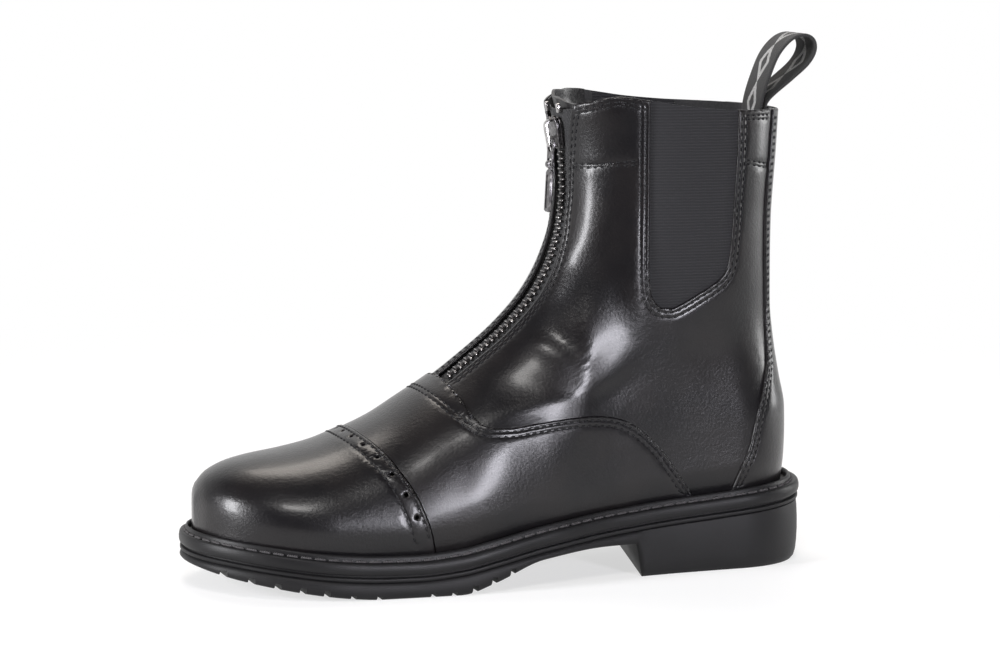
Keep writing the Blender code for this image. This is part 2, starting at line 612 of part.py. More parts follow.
def make_outsole():
    stations = len(sole_marks())
    marks = sole_marks()
    nominal = TOE_X + marks * (HEEL_X - TOE_X)
    nominal = np.concatenate([nominal, nominal[-2:0:-1]])
    tread = smooth(nominal, RISE, 2)
    rows = []
    for inset, drop in WALL_ROWS:
        loop = outline_loop(inset)
        rows.append(np.column_stack([loop, welt_top(loop[:, 0]) - drop]))
    last = rows[-1][:, 2]
    for inset, share in LOW_ROWS:
        rows.append(np.column_stack([outline_loop(inset), last + (tread - last) * share]))
    count = len(rows[0])
    faces = paired_cap(0, stations, count) + paired_cap((len(rows) - 1) * count, stations, count)
    for i in range(len(rows) - 1):
        faces += band(i * count, (i + 1) * count, count)
    outsole = solid("outsole", np.concatenate(rows), faces, "black_rubber")
    for i, x in enumerate(GROOVES):
        reach = (-SIDE_REACH, SIDE_REACH)
        cut_tread(outsole, f"groove_{i}", x, GROOVE_WIDTH / 2, reach, GROOVE_DEPTH)
    for i, x in enumerate(NOTCHES):
        for side, name in ((-1, "outer"), (1, "inner")):
            edge = float(outline(x, side)) * side
            reach = sorted((edge - side * NOTCH_REACH, side * SIDE_REACH))
            cut_tread(outsole, f"notch_{name}_{i}", x, GROOVE_WIDTH / 2, reach, NOTCH_DEPTH)
    for i, (low, high) in enumerate(HEEL_POCKETS):
        reach = (-POCKET_HALF, POCKET_HALF)
        cut_tread(outsole, f"pocket_{i}", (low + high) / 2, (high - low) / 2, reach, POCKET_DEPTH)


def cut_tread(outsole, name, x, half, reach, depth):
    """Cut a groove with sloping walls up into the tread."""
    roof = float(smooth(x, RISE, 2)) + depth
    low = roof - depth - LOW_REACH
    profile = [(x - half - DRAFT, low), (x + half + DRAFT, low), (x + half - DRAFT, roof),
               (x - half + DRAFT, roof)]
    combine(outsole, prism(name + "_cutter", profile, "Y", *reach), "DIFFERENCE")


def welt_row(share, lift):
    """Line of the welt at a share of the way from sole edge to feather line."""
    edge, feather = outline_loop(0), feather_loop()
    loop = edge + (feather - edge) * share
    return np.column_stack([loop, welt_top(loop[:, 0]) + lift])


def make_welt():
    rows = [welt_row(share, lift) for share, lift in WELT_ROWS]
    count = len(rows[0])
    faces = []
    for i in range(len(rows)):
        faces += band(i * count, (i + 1) % len(rows) * count, count)
    solid("welt", np.concatenate(rows), faces, "black_rubber")


def make_insole():
    rows = [welt_row(INSOLE_SHARE, INSOLE_LIFT), welt_row(INSOLE_SHARE, -WELT_DEPTH)]
    count = len(rows[0])
    stations = len(sole_marks())
    faces = paired_cap(0, stations, count) + paired_cap(count, stations, count) + band(0, count, count)
    solid("insole", np.concatenate(rows), faces, "insole_textile")


def make_boot():
    for obj in list(bpy.data.objects):
        bpy.data.objects.remove(obj)
    make_outsole()
    make_welt()
    make_insole()
    make_upper()
    make_overlays()
    make_gussets()
    make_zip()
    make_slider()
    make_link()
    make_tab()
    make_pull_loop()


make_boot()
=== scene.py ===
# %% [markdown]
# # A paddock boot built round its CAD frame
# A paddock boot is an ankle-high riding boot: a polished leather upper with a zip in front, an
# elastic panel in each side and a rubber sole with a low heel. The CAD part gives every piece its
# place and size. This lesson dresses that part, so each piece is built again with finer surfaces,
# real edges, stitches and finishes, and then rides on the CAD body that it belongs to.

# %% Load the CAD frame
import math

import bmesh
import bpy
import numpy as np
from mathutils import Matrix, Vector
from mathutils.geometry import delaunay_2d_cdt


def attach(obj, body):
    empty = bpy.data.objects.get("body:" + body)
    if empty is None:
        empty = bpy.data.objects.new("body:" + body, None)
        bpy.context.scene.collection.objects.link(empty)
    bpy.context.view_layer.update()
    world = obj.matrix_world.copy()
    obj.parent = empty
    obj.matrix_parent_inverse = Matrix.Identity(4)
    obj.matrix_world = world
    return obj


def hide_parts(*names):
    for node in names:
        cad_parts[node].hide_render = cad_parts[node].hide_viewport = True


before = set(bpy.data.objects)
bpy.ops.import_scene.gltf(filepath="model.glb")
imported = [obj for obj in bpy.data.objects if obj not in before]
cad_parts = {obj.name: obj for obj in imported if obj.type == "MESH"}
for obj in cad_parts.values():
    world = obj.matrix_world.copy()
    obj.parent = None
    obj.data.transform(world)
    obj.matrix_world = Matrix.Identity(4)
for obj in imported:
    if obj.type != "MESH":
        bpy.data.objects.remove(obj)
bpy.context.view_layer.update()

# %% [markdown]
# ## The last's tables
# A shoemaker starts from a last, a block in the shape of the foot. Its profiles are kept here as
# short tables in millimetres, the same ones as in the CAD part: the ridge from toe to collar, the
# back, the widths of foot and leg, and the outline and side view of the sole. The toe points
# along -X and the outer side lies along -Y.

# %% Profiles of the last and the sole
CENTRE = np.array([1.04, -0.98, 0.0])
GAP = 0.3
RIDGE = [(-132.8, 22.6), (-132.95, 29), (-133.1, 36.0), (-130.2, 43.6), (-121.5, 49.1), (-109.6, 52.0),
         (-94.8, 54.2), (-80.3, 57.3), (-67.3, 62.2), (-54.2, 68.1), (-41.5, 76.1), (-29.5, 83.7),
         (-17.2, 92.9), (-1.1, 106.0), (11.7, 119.9), (19.8, 134.4), (24.4, 148.9), (25.8, 164),
         (25.2, 179), (23.3, 190), (20.9, 198.5)]
BACK = [(128.3, 34.8), (128.9, 44), (129.2, 55), (128.9, 67), (126.2, 81), (123.3, 97), (121.1, 114),
        (120.0, 150), (121.6, 180), (122.4, 197.3)]
FOOT = [(-135, 36, 40, 15), (-118, 39.5, 42.5, 24), (-100, 41.5, 43, 30), (-75, 43.8, 43.6, 37),
        (-55, 44.8, 43, 45), (-28, 45.2, 39.8, 57), (5, 41.8, 33.6, 73), (40, 35.4, 31, 84),
        (75, 32.0, 30.5, 90), (110, 31.2, 31, 90), (130, 31.2, 31.2, 90)]
LEG = [(30, 31.5), (60, 32), (80, 32.5), (100, 33.5), (125, 35), (150, 36), (205, 37.5)]
COLLAR = [(0, 0), (0.1, 3.6), (0.2, 5.8), (0.32, 4.4), (0.5, 2), (0.7, 0.6), (1, 0)]
PLAN = [(-139, 42, 46), (-100, 47.5, 49.5), (-55, 51, 50), (-28, 52, 47), (5, 48, 38.5),
        (40, 40.5, 34), (75, 37, 34.5), (110, 36, 35), (138, 36, 36)]
RISE = [(-140, 22.9, 11.4), (-130, 22.0, 8.8), (-108, 19.3, 4.6), (-92, 17.3, 2.1), (-78, 16.0, 0.5),
        (-70, 15.5, 0), (-52, 15.2, 0), (-34, 16.6, 0), (-19, 19.4, 4), (4, 23.6, 12), (33, 27.0, 14.4),
        (50, 28.5, 14.2), (53, 28.8, 0), (91, 31.6, 0), (115, 33.6, 0), (138, 35.2, 0)]
TOE_X, HEEL_X = -139.5, 137.5
UPPER_FRONT, UPPER_BACK = -133.15, 129.25
BREAST_SLANT = 17.0
SLOPE_ROWS = RIDGE[2:18]
print("ridge runs from", RIDGE[0], "to", RIDGE[-1])

# %% [markdown]
# ## Curves through the tables
# A table is read on a smooth curve that passes through its points and never overshoots them. The
# two rounding curves turn a share from 0 to 1 into a rounded shoulder or a soft step, and the
# widths of foot and leg are joined at the ankle with such a step.

# %% Reading the tables
def smooth(x, table, column):
    """Read a column of a table at x, on a curve that never overshoots its points."""
    rows = np.asarray(table, float)
    x_points, values = rows[:, 0], rows[:, column]
    step = np.diff(x_points)
    slope = np.diff(values) / step
    tangent = np.zeros_like(values)
    same_way = slope[:-1] * slope[1:] > 0
    before = np.where(same_way, slope[:-1], 1.0)
    after = np.where(same_way, slope[1:], 1.0)
    weight_a = 2 * step[1:] + step[:-1]
    weight_b = step[1:] + 2 * step[:-1]
    mean = (weight_a + weight_b) / (weight_a / before + weight_b / after)
    tangent[1:-1] = np.where(same_way, mean, 0.0)
    tangent[0], tangent[-1] = slope[0], slope[-1]
    x = np.asarray(x, float)
    i = np.clip(np.searchsorted(x_points, x) - 1, 0, len(step) - 1)
    t = np.clip((x - x_points[i]) / step[i], 0, 1)
    return (values[i] * (1 + 2 * t) * (1 - t) ** 2 + tangent[i] * step[i] * t * (1 - t) ** 2
            + values[i + 1] * t * t * (3 - 2 * t) + tangent[i + 1] * step[i] * t * t * (t - 1))


def swell(share, power=2.15):
    """Rounded rise from 0 to 1, steep at 0 and level from 1 on."""
    share = np.clip(share, 0, 1)
    return (1 - (1 - share) ** power) ** (1 / power)


def ramp(x, low, high):
    """Soft step from 0 to 1."""
    t = np.clip((x - low) / (high - low), 0, 1)
    return t * t * (3 - 2 * t)


def column_at_height(table, z):
    return smooth(z, [(row[1], row[0]) for row in table], 1)


def welt_top(x):
    return smooth(x, RISE, 1)


print("welt is", float(welt_top(0)), "mm high at the waist")


# %% Widths of the foot and the leg
def ridge_height(x):
    return smooth(x, SLOPE_ROWS, 1) + np.maximum(x - SLOPE_ROWS[-1][0], 0) * 8


def half_width(x, z, side, lift=0.0, ahead=0.0, behind=0.0):
    """Half width of the upper at a point of its side view, on the outer (-1) or inner (1) side."""
    back = column_at_height(BACK, z) - behind
    front = column_at_height(RIDGE, z) - ahead
    column = 1 if side < 0 else 2
    x_foot = x + (UPPER_BACK - back) * ramp(x, 20, 110)
    width = smooth(x_foot, FOOT, column) - 2.2 * (1 - ramp(z - welt_top(x), 0, 14))
    foot = (width * swell((x - UPPER_FRONT) / 50) * swell((UPPER_BACK - x_foot) / 31)
            * swell((ridge_height(x) - lift - z) / smooth(x_foot, FOOT, 3), 2.2))
    depth = back - front
    leg = (smooth(z, LEG, 1) * swell((x - front) / (0.52 * depth), 2.25)
           * swell((back - x) / (0.45 * depth), 2.3))
    share = ramp(z, 62, 126)
    return foot * (1 - share) + leg * share


def along(table, share):
    """Point at a share of a profile's length."""
    rows = np.asarray(table, float)
    lengths = np.r_[0, np.cumsum(np.hypot(*np.diff(rows, axis=0).T))]
    marks = np.column_stack([lengths / lengths[-1], rows])
    return smooth(share, marks, 1), smooth(share, marks, 2)


def side_point(across, up):
    """Side-view point of the upper: across 0 at the ridge to 1 at the back, up 0 to 1."""
    x_front, z_front = along(RIDGE, up)
    x_back, z_back = along(BACK, up)
    x = x_front + (x_back - x_front) * across
    z = z_front + (z_back - z_front) * across
    low_share = (x - RIDGE[0][0]) / (BACK[0][0] - RIDGE[0][0])
    base = RIDGE[0][1] + (BACK[0][1] - RIDGE[0][1]) * low_share
    sag = (base - welt_top(x) - GAP) * (1 - ramp(up, 0, 0.42))
    fade = 1 - (1 - 4 * across * (1 - across)) ** 3
    return x, z - sag * fade + smooth(across, COLLAR, 1) * ramp(up, 0.72, 1)


def skin(turn, up):
    """Point of the upper's face: turn 0 at the ridge, -pi and pi at the back, outer side below 0."""
    turn = (np.asarray(turn, float) + math.pi) % (2 * math.pi) - math.pi
    across = (1 - np.cos(turn)) / 2
    x, z = side_point(across, up)
    x_front, z_front = along(RIDGE, up)
    x_back, z_back = along(BACK, up)
    lift = ridge_height(x_front) - z_front
    ahead = column_at_height(RIDGE, z_front) - x_front
    behind = column_at_height(BACK, z_back) - x_back
    near, far = (1 - across) ** 12, across ** 12
    slim = np.clip(1 - np.abs(turn) / 0.2, 0, 1)
    halves = []
    for side in (-1, 1):
        half = half_width(x, z, side, lift * near, ahead * near, behind * far)
        halves.append(half - slim * half_width(x_front, z_front, side, lift, ahead))
    y = np.where(turn < 0, -halves[0], halves[1])
    return np.stack([x, y, z], axis=-1)


print("widest point of the foot:", float(half_width(-28.0, 20.0, -1)), "mm from the middle")

# %% [markdown]
# ## Folds in the leather
# A boot that has been on a foot keeps soft folds over the instep, above the seam of the vamp and in
# front of the elastic. They could be painted as bumps, but a fold moves the highlight over a wide
# area, so each one here is a real ridge or trough: a short line in side view, with a height, a
# width, and ends that fade away.

# %% Folds: side, height, width, then points of the fold in side view
FOLDS = [
    (-1, 0.75, 4.6, [(-6, 101), (4.4, 101.5), (10, 99.5), (15, 96), (19.5, 91.5), (22.5, 85.5)]),
    (-1, -0.7, 5.2, [(6, 109), (15, 104.5), (22, 98.5), (27, 91)]),
    (-1, 0.7, 5.6, [(20, 80), (27, 83), (35, 87), (44, 93.5), (51, 102)]),
    (-1, -0.4, 5.4, [(8, 80), (20, 76.5), (32, 76.5), (44, 82), (55, 91)]),
    (-1, 0.6, 3.4, [(-24, 69.5), (-8, 73.8), (6, 76.6), (20, 77), (31, 75)]),
    (-1, -0.5, 5.5, [(-16, 80), (-2, 84), (11, 85)]),
    (-1, 0.7, 5.5, [(49, 158), (49, 136), (50, 121), (52, 108), (54, 95)]),
    (-1, -0.6, 6.5, [(40, 152), (39, 134), (41, 118), (46, 104)]),
    (-1, 0.5, 7.0, [(29, 176), (30, 160), (30, 150), (28, 140), (24, 130)]),
    (-1, 0.4, 5.5, [(31, 134), (24, 126), (15, 118)]),
    (-1, -0.4, 5.5, [(35, 142), (29, 133), (20, 125)]),
    (-1, -0.5, 11.0, [(68, 101), (86, 92), (102, 96)]),
    (-1, -0.3, 7.0, [(-50, 40), (-30, 47), (-10, 45)]),
    (1, 0.7, 4.8, [(-4, 102), (8, 99), (15, 92), (19, 83)]),
    (1, -0.6, 5.2, [(8, 108), (18, 100), (25, 89)]),
    (1, 0.6, 5.4, [(20, 80), (31, 84), (42, 91), (48, 100)]),
    (1, 0.6, 5.5, [(49, 148), (48.5, 128), (51, 106)]),
    (1, -0.5, 6.5, [(37, 148), (37, 128), (42, 110)]),
    (1, 0.4, 6.5, [(26, 168), (29, 150), (25, 132)]),
    (1, -0.3, 7.0, [(-50, 38), (-30, 45), (-12, 44)]),
]
WAVE = 0.12


def to_path(x, z, path):
    """Distance to a path in side view, and the share of its length at the nearest point."""
    corners = np.asarray(path, float)
    lengths = np.hypot(*np.diff(corners, axis=0).T)
    starts = np.r_[0, np.cumsum(lengths)]
    nearest = np.full(np.shape(x), np.inf)
    share = np.zeros(np.shape(x))
    for i, length in enumerate(lengths):
        step = (corners[i + 1] - corners[i]) / length
        run = np.clip((x - corners[i, 0]) * step[0] + (z - corners[i, 1]) * step[1], 0, length)
        off = np.hypot(x - corners[i, 0] - step[0] * run, z - corners[i, 1] - step[1] * run)
        closer = off < nearest
        nearest = np.where(closer, off, nearest)
        share = np.where(closer, (starts[i] + run) / starts[-1], share)
    return nearest, share


def relief(points):
    """How far the folds lift the leather."""
    x, y, z = points[..., 0], points[..., 1], points[..., 2]
    lift = WAVE * np.sin(x / 9 + 1.3 * np.sin(z / 13)) * np.sin(z / 11 + 0.8 * np.sin(x / 17 + 1))
    for side, height, width, path in FOLDS:
        off, share = to_path(x, z, path)
        fade = np.sin(np.pi * np.clip(share, 0.0, 1.0)) ** 1.2
        lift = lift + np.where(y * side > 0, height * fade * np.exp(-(off / width) ** 2), 0)
    return lift * ramp(np.abs(y), 12, 24) * ramp(z - welt_top(x), 3, 12)


print(len(FOLDS), "folds")

# %% [markdown]
# ## Working on the leather
# Every point of the upper has two map numbers: its turn round the boot and how far up it lies. A
# seam is a line on that map. To set a second row of stitches beside a seam, the line has to move a
# true distance over the curved leather, so the step is worked out in millimetres and then turned
# back into map numbers.

# %% Points, normals and lines on the leather
def lie(turn, up):
    """Point, outward normal and the two map directions of the leather."""
    step = 1e-3
    turn, up = np.asarray(turn, float), np.asarray(up, float)
    low, high = np.maximum(up - step, 0), np.minimum(up + step, 1)
    by_turn = (skin(turn + step, up) - skin(turn - step, up)) / (2 * step)
    by_up = (skin(turn, high) - skin(turn, low)) / (high - low)[..., None]
    normal = np.cross(by_up, by_turn)
    normal /= np.linalg.norm(normal, axis=-1, keepdims=True)
    return skin(turn, up), normal, by_turn, by_up


def raised(line, height):
    """Points at a height over the leather, folds included."""
    point, normal, _, _ = lie(line[..., 0], line[..., 1])
    height = np.asarray(height) + relief(point)
    return point + normal * height[..., None]


def meet(test, low, high):
    """Place between low and high where a test turns from negative to positive."""
    for _ in range(40):
        middle = (low + high) / 2
        negative = test(middle) < 0
        low = np.where(negative, middle, low)
        high = np.where(negative, high, middle)
    return (low + high) / 2


def resample(line, step):
    """The same line with its points a fixed distance apart."""
    run = np.linalg.norm(np.diff(skin(line[:, 0], line[:, 1]), axis=0), axis=1)
    run = np.r_[0, np.cumsum(run)]
    count = max(2, int(round(run[-1] / step)) + 1)
    marks = np.linspace(0, run[-1], count)
    return np.column_stack([np.interp(marks, run, line[:, 0]), np.interp(marks, run, line[:, 1])])


def beside(line, distance, steps=1):
    """Line moved over the leather, to its left as the map is drawn."""
    for _ in range(steps):
        _, normal, by_turn, by_up = lie(line[:, 0], line[:, 1])
        step = np.gradient(line, axis=0)
        tangent = by_turn * step[:, :1] + by_up * step[:, 1:]
        tangent /= np.linalg.norm(tangent, axis=1, keepdims=True)
        aside = np.cross(tangent, normal) * distance / steps
        turn_turn = (by_turn * by_turn).sum(1)
        turn_up = (by_turn * by_up).sum(1)
        up_up = (by_up * by_up).sum(1)
        turn_aside = (by_turn * aside).sum(1)
        up_aside = (by_up * aside).sum(1)
        size = turn_turn * up_up - turn_up * turn_up
        line = line + np.column_stack([(up_up * turn_aside - turn_up * up_aside) / size,
                                       (turn_turn * up_aside - turn_up * turn_aside) / size])
    return line


print("leather is", np.round(lie(-1.0, 0.5)[1], 2), "there")

# %% [markdown]
# ## Seams on the map
# The seams are drawn in side view, as a pattern cutter draws them. For each place round the boot
# the height is found where the leather crosses the seam, by halving the gap until it closes. The
# zip's opening is drawn in front view and is found the same way.

# %% Seam tables in side view and front view
CAP_SEAM = [(-68, 70), (-66.5, 63), (-63.3, 59.4), (-59.7, 55), (-56.2, 49.5), (-53.3, 44.9),
            (-50.7, 39.6), (-47.8, 32.6), (-45.7, 26.6), (-43.9, 20.4), (-42, 10)]
CAP_ROW = [(-79, 70), (-76.5, 62), (-72.8, 59.6), (-69.6, 56.6), (-66.7, 52.5), (-64.0, 48.9),
           (-61.2, 44.3), (-57.8, 37.1), (-55.2, 30.5), (-53.2, 24.5), (-51.9, 20), (-49.5, 10)]
VAMP_SEAM = [(-34, 96), (-28.5, 85), (-26.2, 77.9), (-24.0, 73), (-20.6, 68.8), (-15.9, 67.1),
             (-8.9, 67.1), (2.1, 68.4), (13.3, 69.7), (25.7, 70.4), (35, 69.7), (41.9, 68.2),
             (50.4, 63.8), (58.2, 57.4), (62.6, 52.8), (66.5, 47.8), (70.9, 41.9), (75.4, 36), (84, 22)]
VAMP_ROW = [(-42, 96), (-37, 81.5), (-35.7, 79.6), (-33.9, 77.6), (-30.3, 73.4), (-26, 69.2),
            (-21.5, 66.4), (-16.5, 65.4), (-9, 65.5), (2.1, 66.8), (13.3, 68.1), (25.7, 68.7),
            (34.6, 68), (41.2, 66.5), (49.4, 62.3), (57, 56.1), (61.3, 51.6), (65.1, 46.7),
            (69.5, 40.9), (74, 34.9), (82, 22)]
COUNTER_SEAM = [(114.2, 210), (112.9, 182), (111.4, 160), (112.4, 134), (114.6, 108), (114.4, 90),
                (111.2, 78), (106.9, 65.4), (103.7, 53), (99.8, 43.7), (95, 30)]
GUSSET = [(52.9, 215), (53.7, 188), (54.3, 160), (54.6, 130), (55.5, 121.5), (57.8, 117), (61, 114.6),
          (65, 114.3), (70, 116.2), (77, 120), (84.2, 124), (88.7, 127.4), (91.3, 132), (92.3, 140),
          (93.2, 160), (94, 185), (93.9, 215)]
CUFF = [(15, 174.4), (25, 174.7), (52, 177.1), (95, 177.1), (111, 174.5), (125, 173.5)]
SLOT = [(84.2, -4.6, 7.0), (107, -4.6, 7.0), (118, -4.5, 7.0), (128, -3.9, 7.0), (137, -2.8, 7.0),
        (150, -1.0, 7.0), (165, -0.5, 7.6), (178, 0, 9.3), (190, 0, 12.6), (199, 0, 16.5), (215, 0, 20.5)]


def past_column(table):
    """Test: how far a map point lies behind a seam that is read by height."""
    def test(turn, up):
        point = skin(turn, up)
        return point[..., 0] - column_at_height(table[::-1], point[..., 2])
    return test


def above_row(table):
    """Test: how far a map point lies above a seam that is read by length."""
    def test(turn, up):
        point = skin(turn, up)
        return point[..., 2] - smooth(point[..., 0], table, 1)
    return test


def over_ridge(test, count=161):
    """Seam from the outer feather line over the ridge to the inner one."""
    end = float(meet(lambda turn: test(turn, 0.0), 0.0, math.pi))
    turn = np.linspace(-end, end, count)
    up = meet(lambda up: test(turn, up), np.zeros(count), np.ones(count))
    up[[0, -1]] = 0
    return np.column_stack([turn, up])


cap_line = over_ridge(past_column(CAP_SEAM))
cap_row = over_ridge(past_column(CAP_ROW))
vamp_line = over_ridge(above_row(VAMP_SEAM), 321)
vamp_row = over_ridge(above_row(VAMP_ROW), 321)
print("toe cap's seam ends at x", np.round(skin(*cap_line[0])[0], 1))


# %% Zip opening, counter, gusset and cuff
def slot_line(side, extra=0.0):
    """Edge of the zip's opening on one side, from its bottom to the collar."""
    up = np.linspace(0.3, 1, 241)

    def test(turn):
        point = skin(turn * side, up)
        middle, half = smooth(point[:, 2], SLOT, 1), smooth(point[:, 2], SLOT, 2)
        return side * (point[:, 1] - middle) - half - extra

    turn = meet(test, np.full(len(up), 0.005), np.full(len(up), 1.3))
    line = np.column_stack([turn * side, up])
    return line[skin(line[:, 0], line[:, 1])[:, 2] > SLOT[0][0] - extra]


def counter_line(side, shift=0.0):
    """Front edge of the heel counter and backstay on one side, from the sole to the collar."""
    test = past_column([(x + shift, z) for x, z in COUNTER_SEAM])
    up = np.linspace(0, 1, 161)
    turn = meet(lambda turn: test(turn * side, up), np.full(len(up), 1.6), np.full(len(up), math.pi))
    return np.column_stack([turn * side, up])


def from_side(path, side):
    """Map line of a path drawn in side view."""
    x, z = np.asarray(path, float).T
    across, up = np.full(len(x), 0.5), np.full(len(x), 0.5)
    step = 1e-4
    for _ in range(40):
        x_now, z_now = side_point(across, up)
        x_a, z_a = side_point(across + step, up)
        x_u, z_u = side_point(across, up - step)
        xa, za = (x_a - x_now) / step, (z_a - z_now) / step
        xu, zu = (x_now - x_u) / step, (z_now - z_u) / step
        size = xa * zu - xu * za
        off_x, off_z = x - x_now, z - z_now
        across = np.clip(across + 0.8 * (off_x * zu - off_z * xu) / size, 0, 1)
        up = np.clip(up + 0.8 * (off_z * xa - off_x * za) / size, 0.01, 1)
    return np.column_stack([side * np.arccos(1 - 2 * across), up])


def gusset_line(side):
    """Edge of the elastic, down its front, round and up its back, both ends at the collar."""
    x, z = along(GUSSET, np.linspace(0, 1, 281))
    collar_x, collar_z = side_point(np.linspace(0, 1, 200), np.ones(200))
    low = z < np.interp(x, collar_x, collar_z) - 0.5
    line = from_side(np.column_stack([x, z])[low], side)
    ends = []
    for table, start in ((GUSSET[:4][::-1], 1.0), (GUSSET[-4:], 1.6)):
        test = past_column(table[::-1])
        ends.append(float(meet(lambda turn: test(turn * side, 1.0), start, start + 1.2)) * side)
    return np.concatenate([[(ends[0], 1)], line, [(ends[1], 1)]])


def cuff_line(side, drop):
    x = np.linspace(CUFF[0][0], CUFF[-1][0], 141)
    return from_side(np.column_stack([x, smooth(x, CUFF, 1) - drop]), side)


slots = {side: slot_line(side) for side in (-1, 1)}
counters = {side: counter_line(side) for side in (-1, 1)}
gussets = {side: gusset_line(side) for side in (-1, 1)}
print("gusset's lowest point is at z", float(skin(*gussets[-1].T)[:, 2].min()))

# %% [markdown]
# ## Finishes written as arithmetic
# A material is a network of nodes. Written as node calls it is hard to read, so one small class
# wraps a node's output and lets it be added, multiplied and compared like a number. Each operator
# lays down one Math node. Any other node comes from a single method that takes its kind, its
# settings and the values or links of its inputs.

# %% One class for a value, one for a finish
class Value:
    """A node's output that can be used in arithmetic."""

    def __init__(self, finish, socket):
        self.finish, self.socket = finish, socket

    def math(self, operation, *others):
        inputs = {i: value for i, value in enumerate((self, *others))}
        return self.finish.node("ShaderNodeMath", inputs, operation=operation)

    def __add__(self, other):
        return self.math("ADD", other)

    def __sub__(self, other):
        return self.math("SUBTRACT", other)

    def __mul__(self, other):
        return self.math("MULTIPLY", other)

    def __truediv__(self, other):
        return self.math("DIVIDE", other)

    def __pow__(self, other):
        return self.math("POWER", other)

    def __neg__(self):
        return self.math("MULTIPLY", -1.0)

    def __radd__(self, other):
        return self + other

    def __rmul__(self, other):
        return self * other

    def __rsub__(self, other):
        return self.finish.node("ShaderNodeMath", {0: other, 1: self}, operation="SUBTRACT")

    def __rtruediv__(self, other):
        return self.finish.node("ShaderNodeMath", {0: other, 1: self}, operation="DIVIDE")

    def above(self, low, high):
        """Soft step from 0 at low to 1 at high."""
        return self.finish.node("ShaderNodeMapRange", {"Value": self, "From Min": low, "From Max": high},
                                interpolation_type="SMOOTHSTEP")


class Finish:
    """A material whose nodes are made one by one."""

    def __init__(self, name, colour, roughness, **constants):
        self.material = bpy.data.materials.new(name)
        self.material.use_nodes = True
        self.tree = self.material.node_tree
        self.shader = self.tree.nodes["Principled BSDF"]
        self.set("Base Color", (*colour, 1.0))
        self.set("Roughness", roughness)
        for key, value in constants.items():
            self.set(key.replace("_", " "), value)
        self.material.diffuse_color = (*colour, 1.0)

    def node(self, kind, inputs=None, out=0, **settings):
        node = self.tree.nodes.new(kind)
        for key, value in settings.items():
            setattr(node, key, value)
        for key, value in (inputs or {}).items():
            self.plug(self.find(node.inputs, key), value)
        return Value(self, self.find(node.outputs, out))

    def find(self, sockets, key):
        if isinstance(key, int):
            return sockets[key]
        return next(s for s in sockets if key in (s.identifier, s.name) and s.enabled)

    def plug(self, socket, value):
        if isinstance(value, Value):
            self.tree.links.new(value.socket, socket)
        else:
            socket.default_value = value

    def set(self, name, value):
        self.plug(self.shader.inputs[name], value)

    def where(self):
        """Place on the object, in millimetres."""
        place = self.node("ShaderNodeTexCoord", out="Object")
        return self.node("ShaderNodeVectorMath", {0: place, "Scale": 1000.0}, operation="SCALE")

    def axes(self, place):
        """The three parts of a vector."""
        parts = self.tree.nodes.new("ShaderNodeSeparateXYZ")
        self.tree.links.new(place.socket, parts.inputs[0])
        return [Value(self, output) for output in parts.outputs]

    def noise(self, place, size, detail=2.0, roughness=0.5):
        """Cloudy value whose blots are about this many millimetres across."""
        return self.node("ShaderNodeTexNoise", {"Vector": place, "Scale": 1.0 / size, "Detail": detail,
                                                "Roughness": roughness})

    def mix(self, factor, first, second):
        return self.node("ShaderNodeMix", {"Factor_Float": factor, "A_Color": first, "B_Color": second},
                         out="Result_Color", data_type="RGBA")

    def bump(self, height, distance, strength=1.0, below=None):
        """Normal from a height between 0 and 1 that stands for this many metres."""
        inputs = {"Height": height, "Distance": distance, "Strength": strength}
        if below:
            inputs["Normal"] = below
        return self.node("ShaderNodeBump", inputs)


print("node kinds are named once, inside Finish")

# %% [markdown]
# ## Polished leather
# The upper is corrected-grain leather, nearly black with a trace of brown, waxed and brushed. Light
# catches it twice: a broad soft sheen in the leather, and a tighter shine in the wax on top. So the
# finish has a rough base and a smoother coat. Fine pebbles of about a millimetre, smaller pores and
# a slow cloudiness in roughness keep the highlights from looking like plastic. Edges are left raw.

# %% Leather finishes
def leather(name, colour, tint, roughness, grain):
    finish = Finish(name, colour, roughness, Coat_Weight=0.22, Coat_Roughness=0.17, Specular_IOR_Level=0.27)
    place = finish.where()
    cloud = finish.noise(place, 26, 3.0)
    patch = finish.noise(place, 7, 4.0, 0.6)
    finish.set("Base Color", finish.mix(cloud.above(0.35, 0.7), (*colour, 1), (*tint, 1)))
    pebble = finish.node("ShaderNodeTexVoronoi", {"Vector": place, "Scale": 1 / 1.15, "Randomness": 1.0},
                         out="Distance", feature="SMOOTH_F1")
    pores = finish.noise(place, 0.5, 2.0, 0.7)
    finish.set("Roughness", roughness - 0.05 + 0.07 * cloud + 0.08 * patch + 0.05 * pores)
    slow = finish.bump(patch, 0.00035, 0.35)
    finish.set("Normal", finish.bump(pores * 0.5 + (1 - pebble) * 0.5, 0.00015, grain, below=slow))
    return finish.material


upper_leather = leather("polished_leather", (0.0042, 0.0038, 0.0046), (0.0072, 0.0060, 0.0064), 0.28, 0.85)
edge_leather = leather("cut_edge", (0.012, 0.011, 0.012), (0.024, 0.022, 0.023), 0.42, 0.9)
guard_leather = leather("guard_leather", (0.0055, 0.005, 0.0055), (0.009, 0.0085, 0.0088), 0.42, 1.0)
print("leather finishes:", upper_leather.name, edge_leather.name, guard_leather.name)

# %% [markdown]
# ## Textiles
# The lining is a felted textile, the elastic is woven in fine cross ribs, and the zip's tape and the
# pull loop are herringbone tapes. A weave is waves: ribs from one sine, threads from two sines that
# cross. Cloth has no coat and scatters light widely, so its roughness is high.

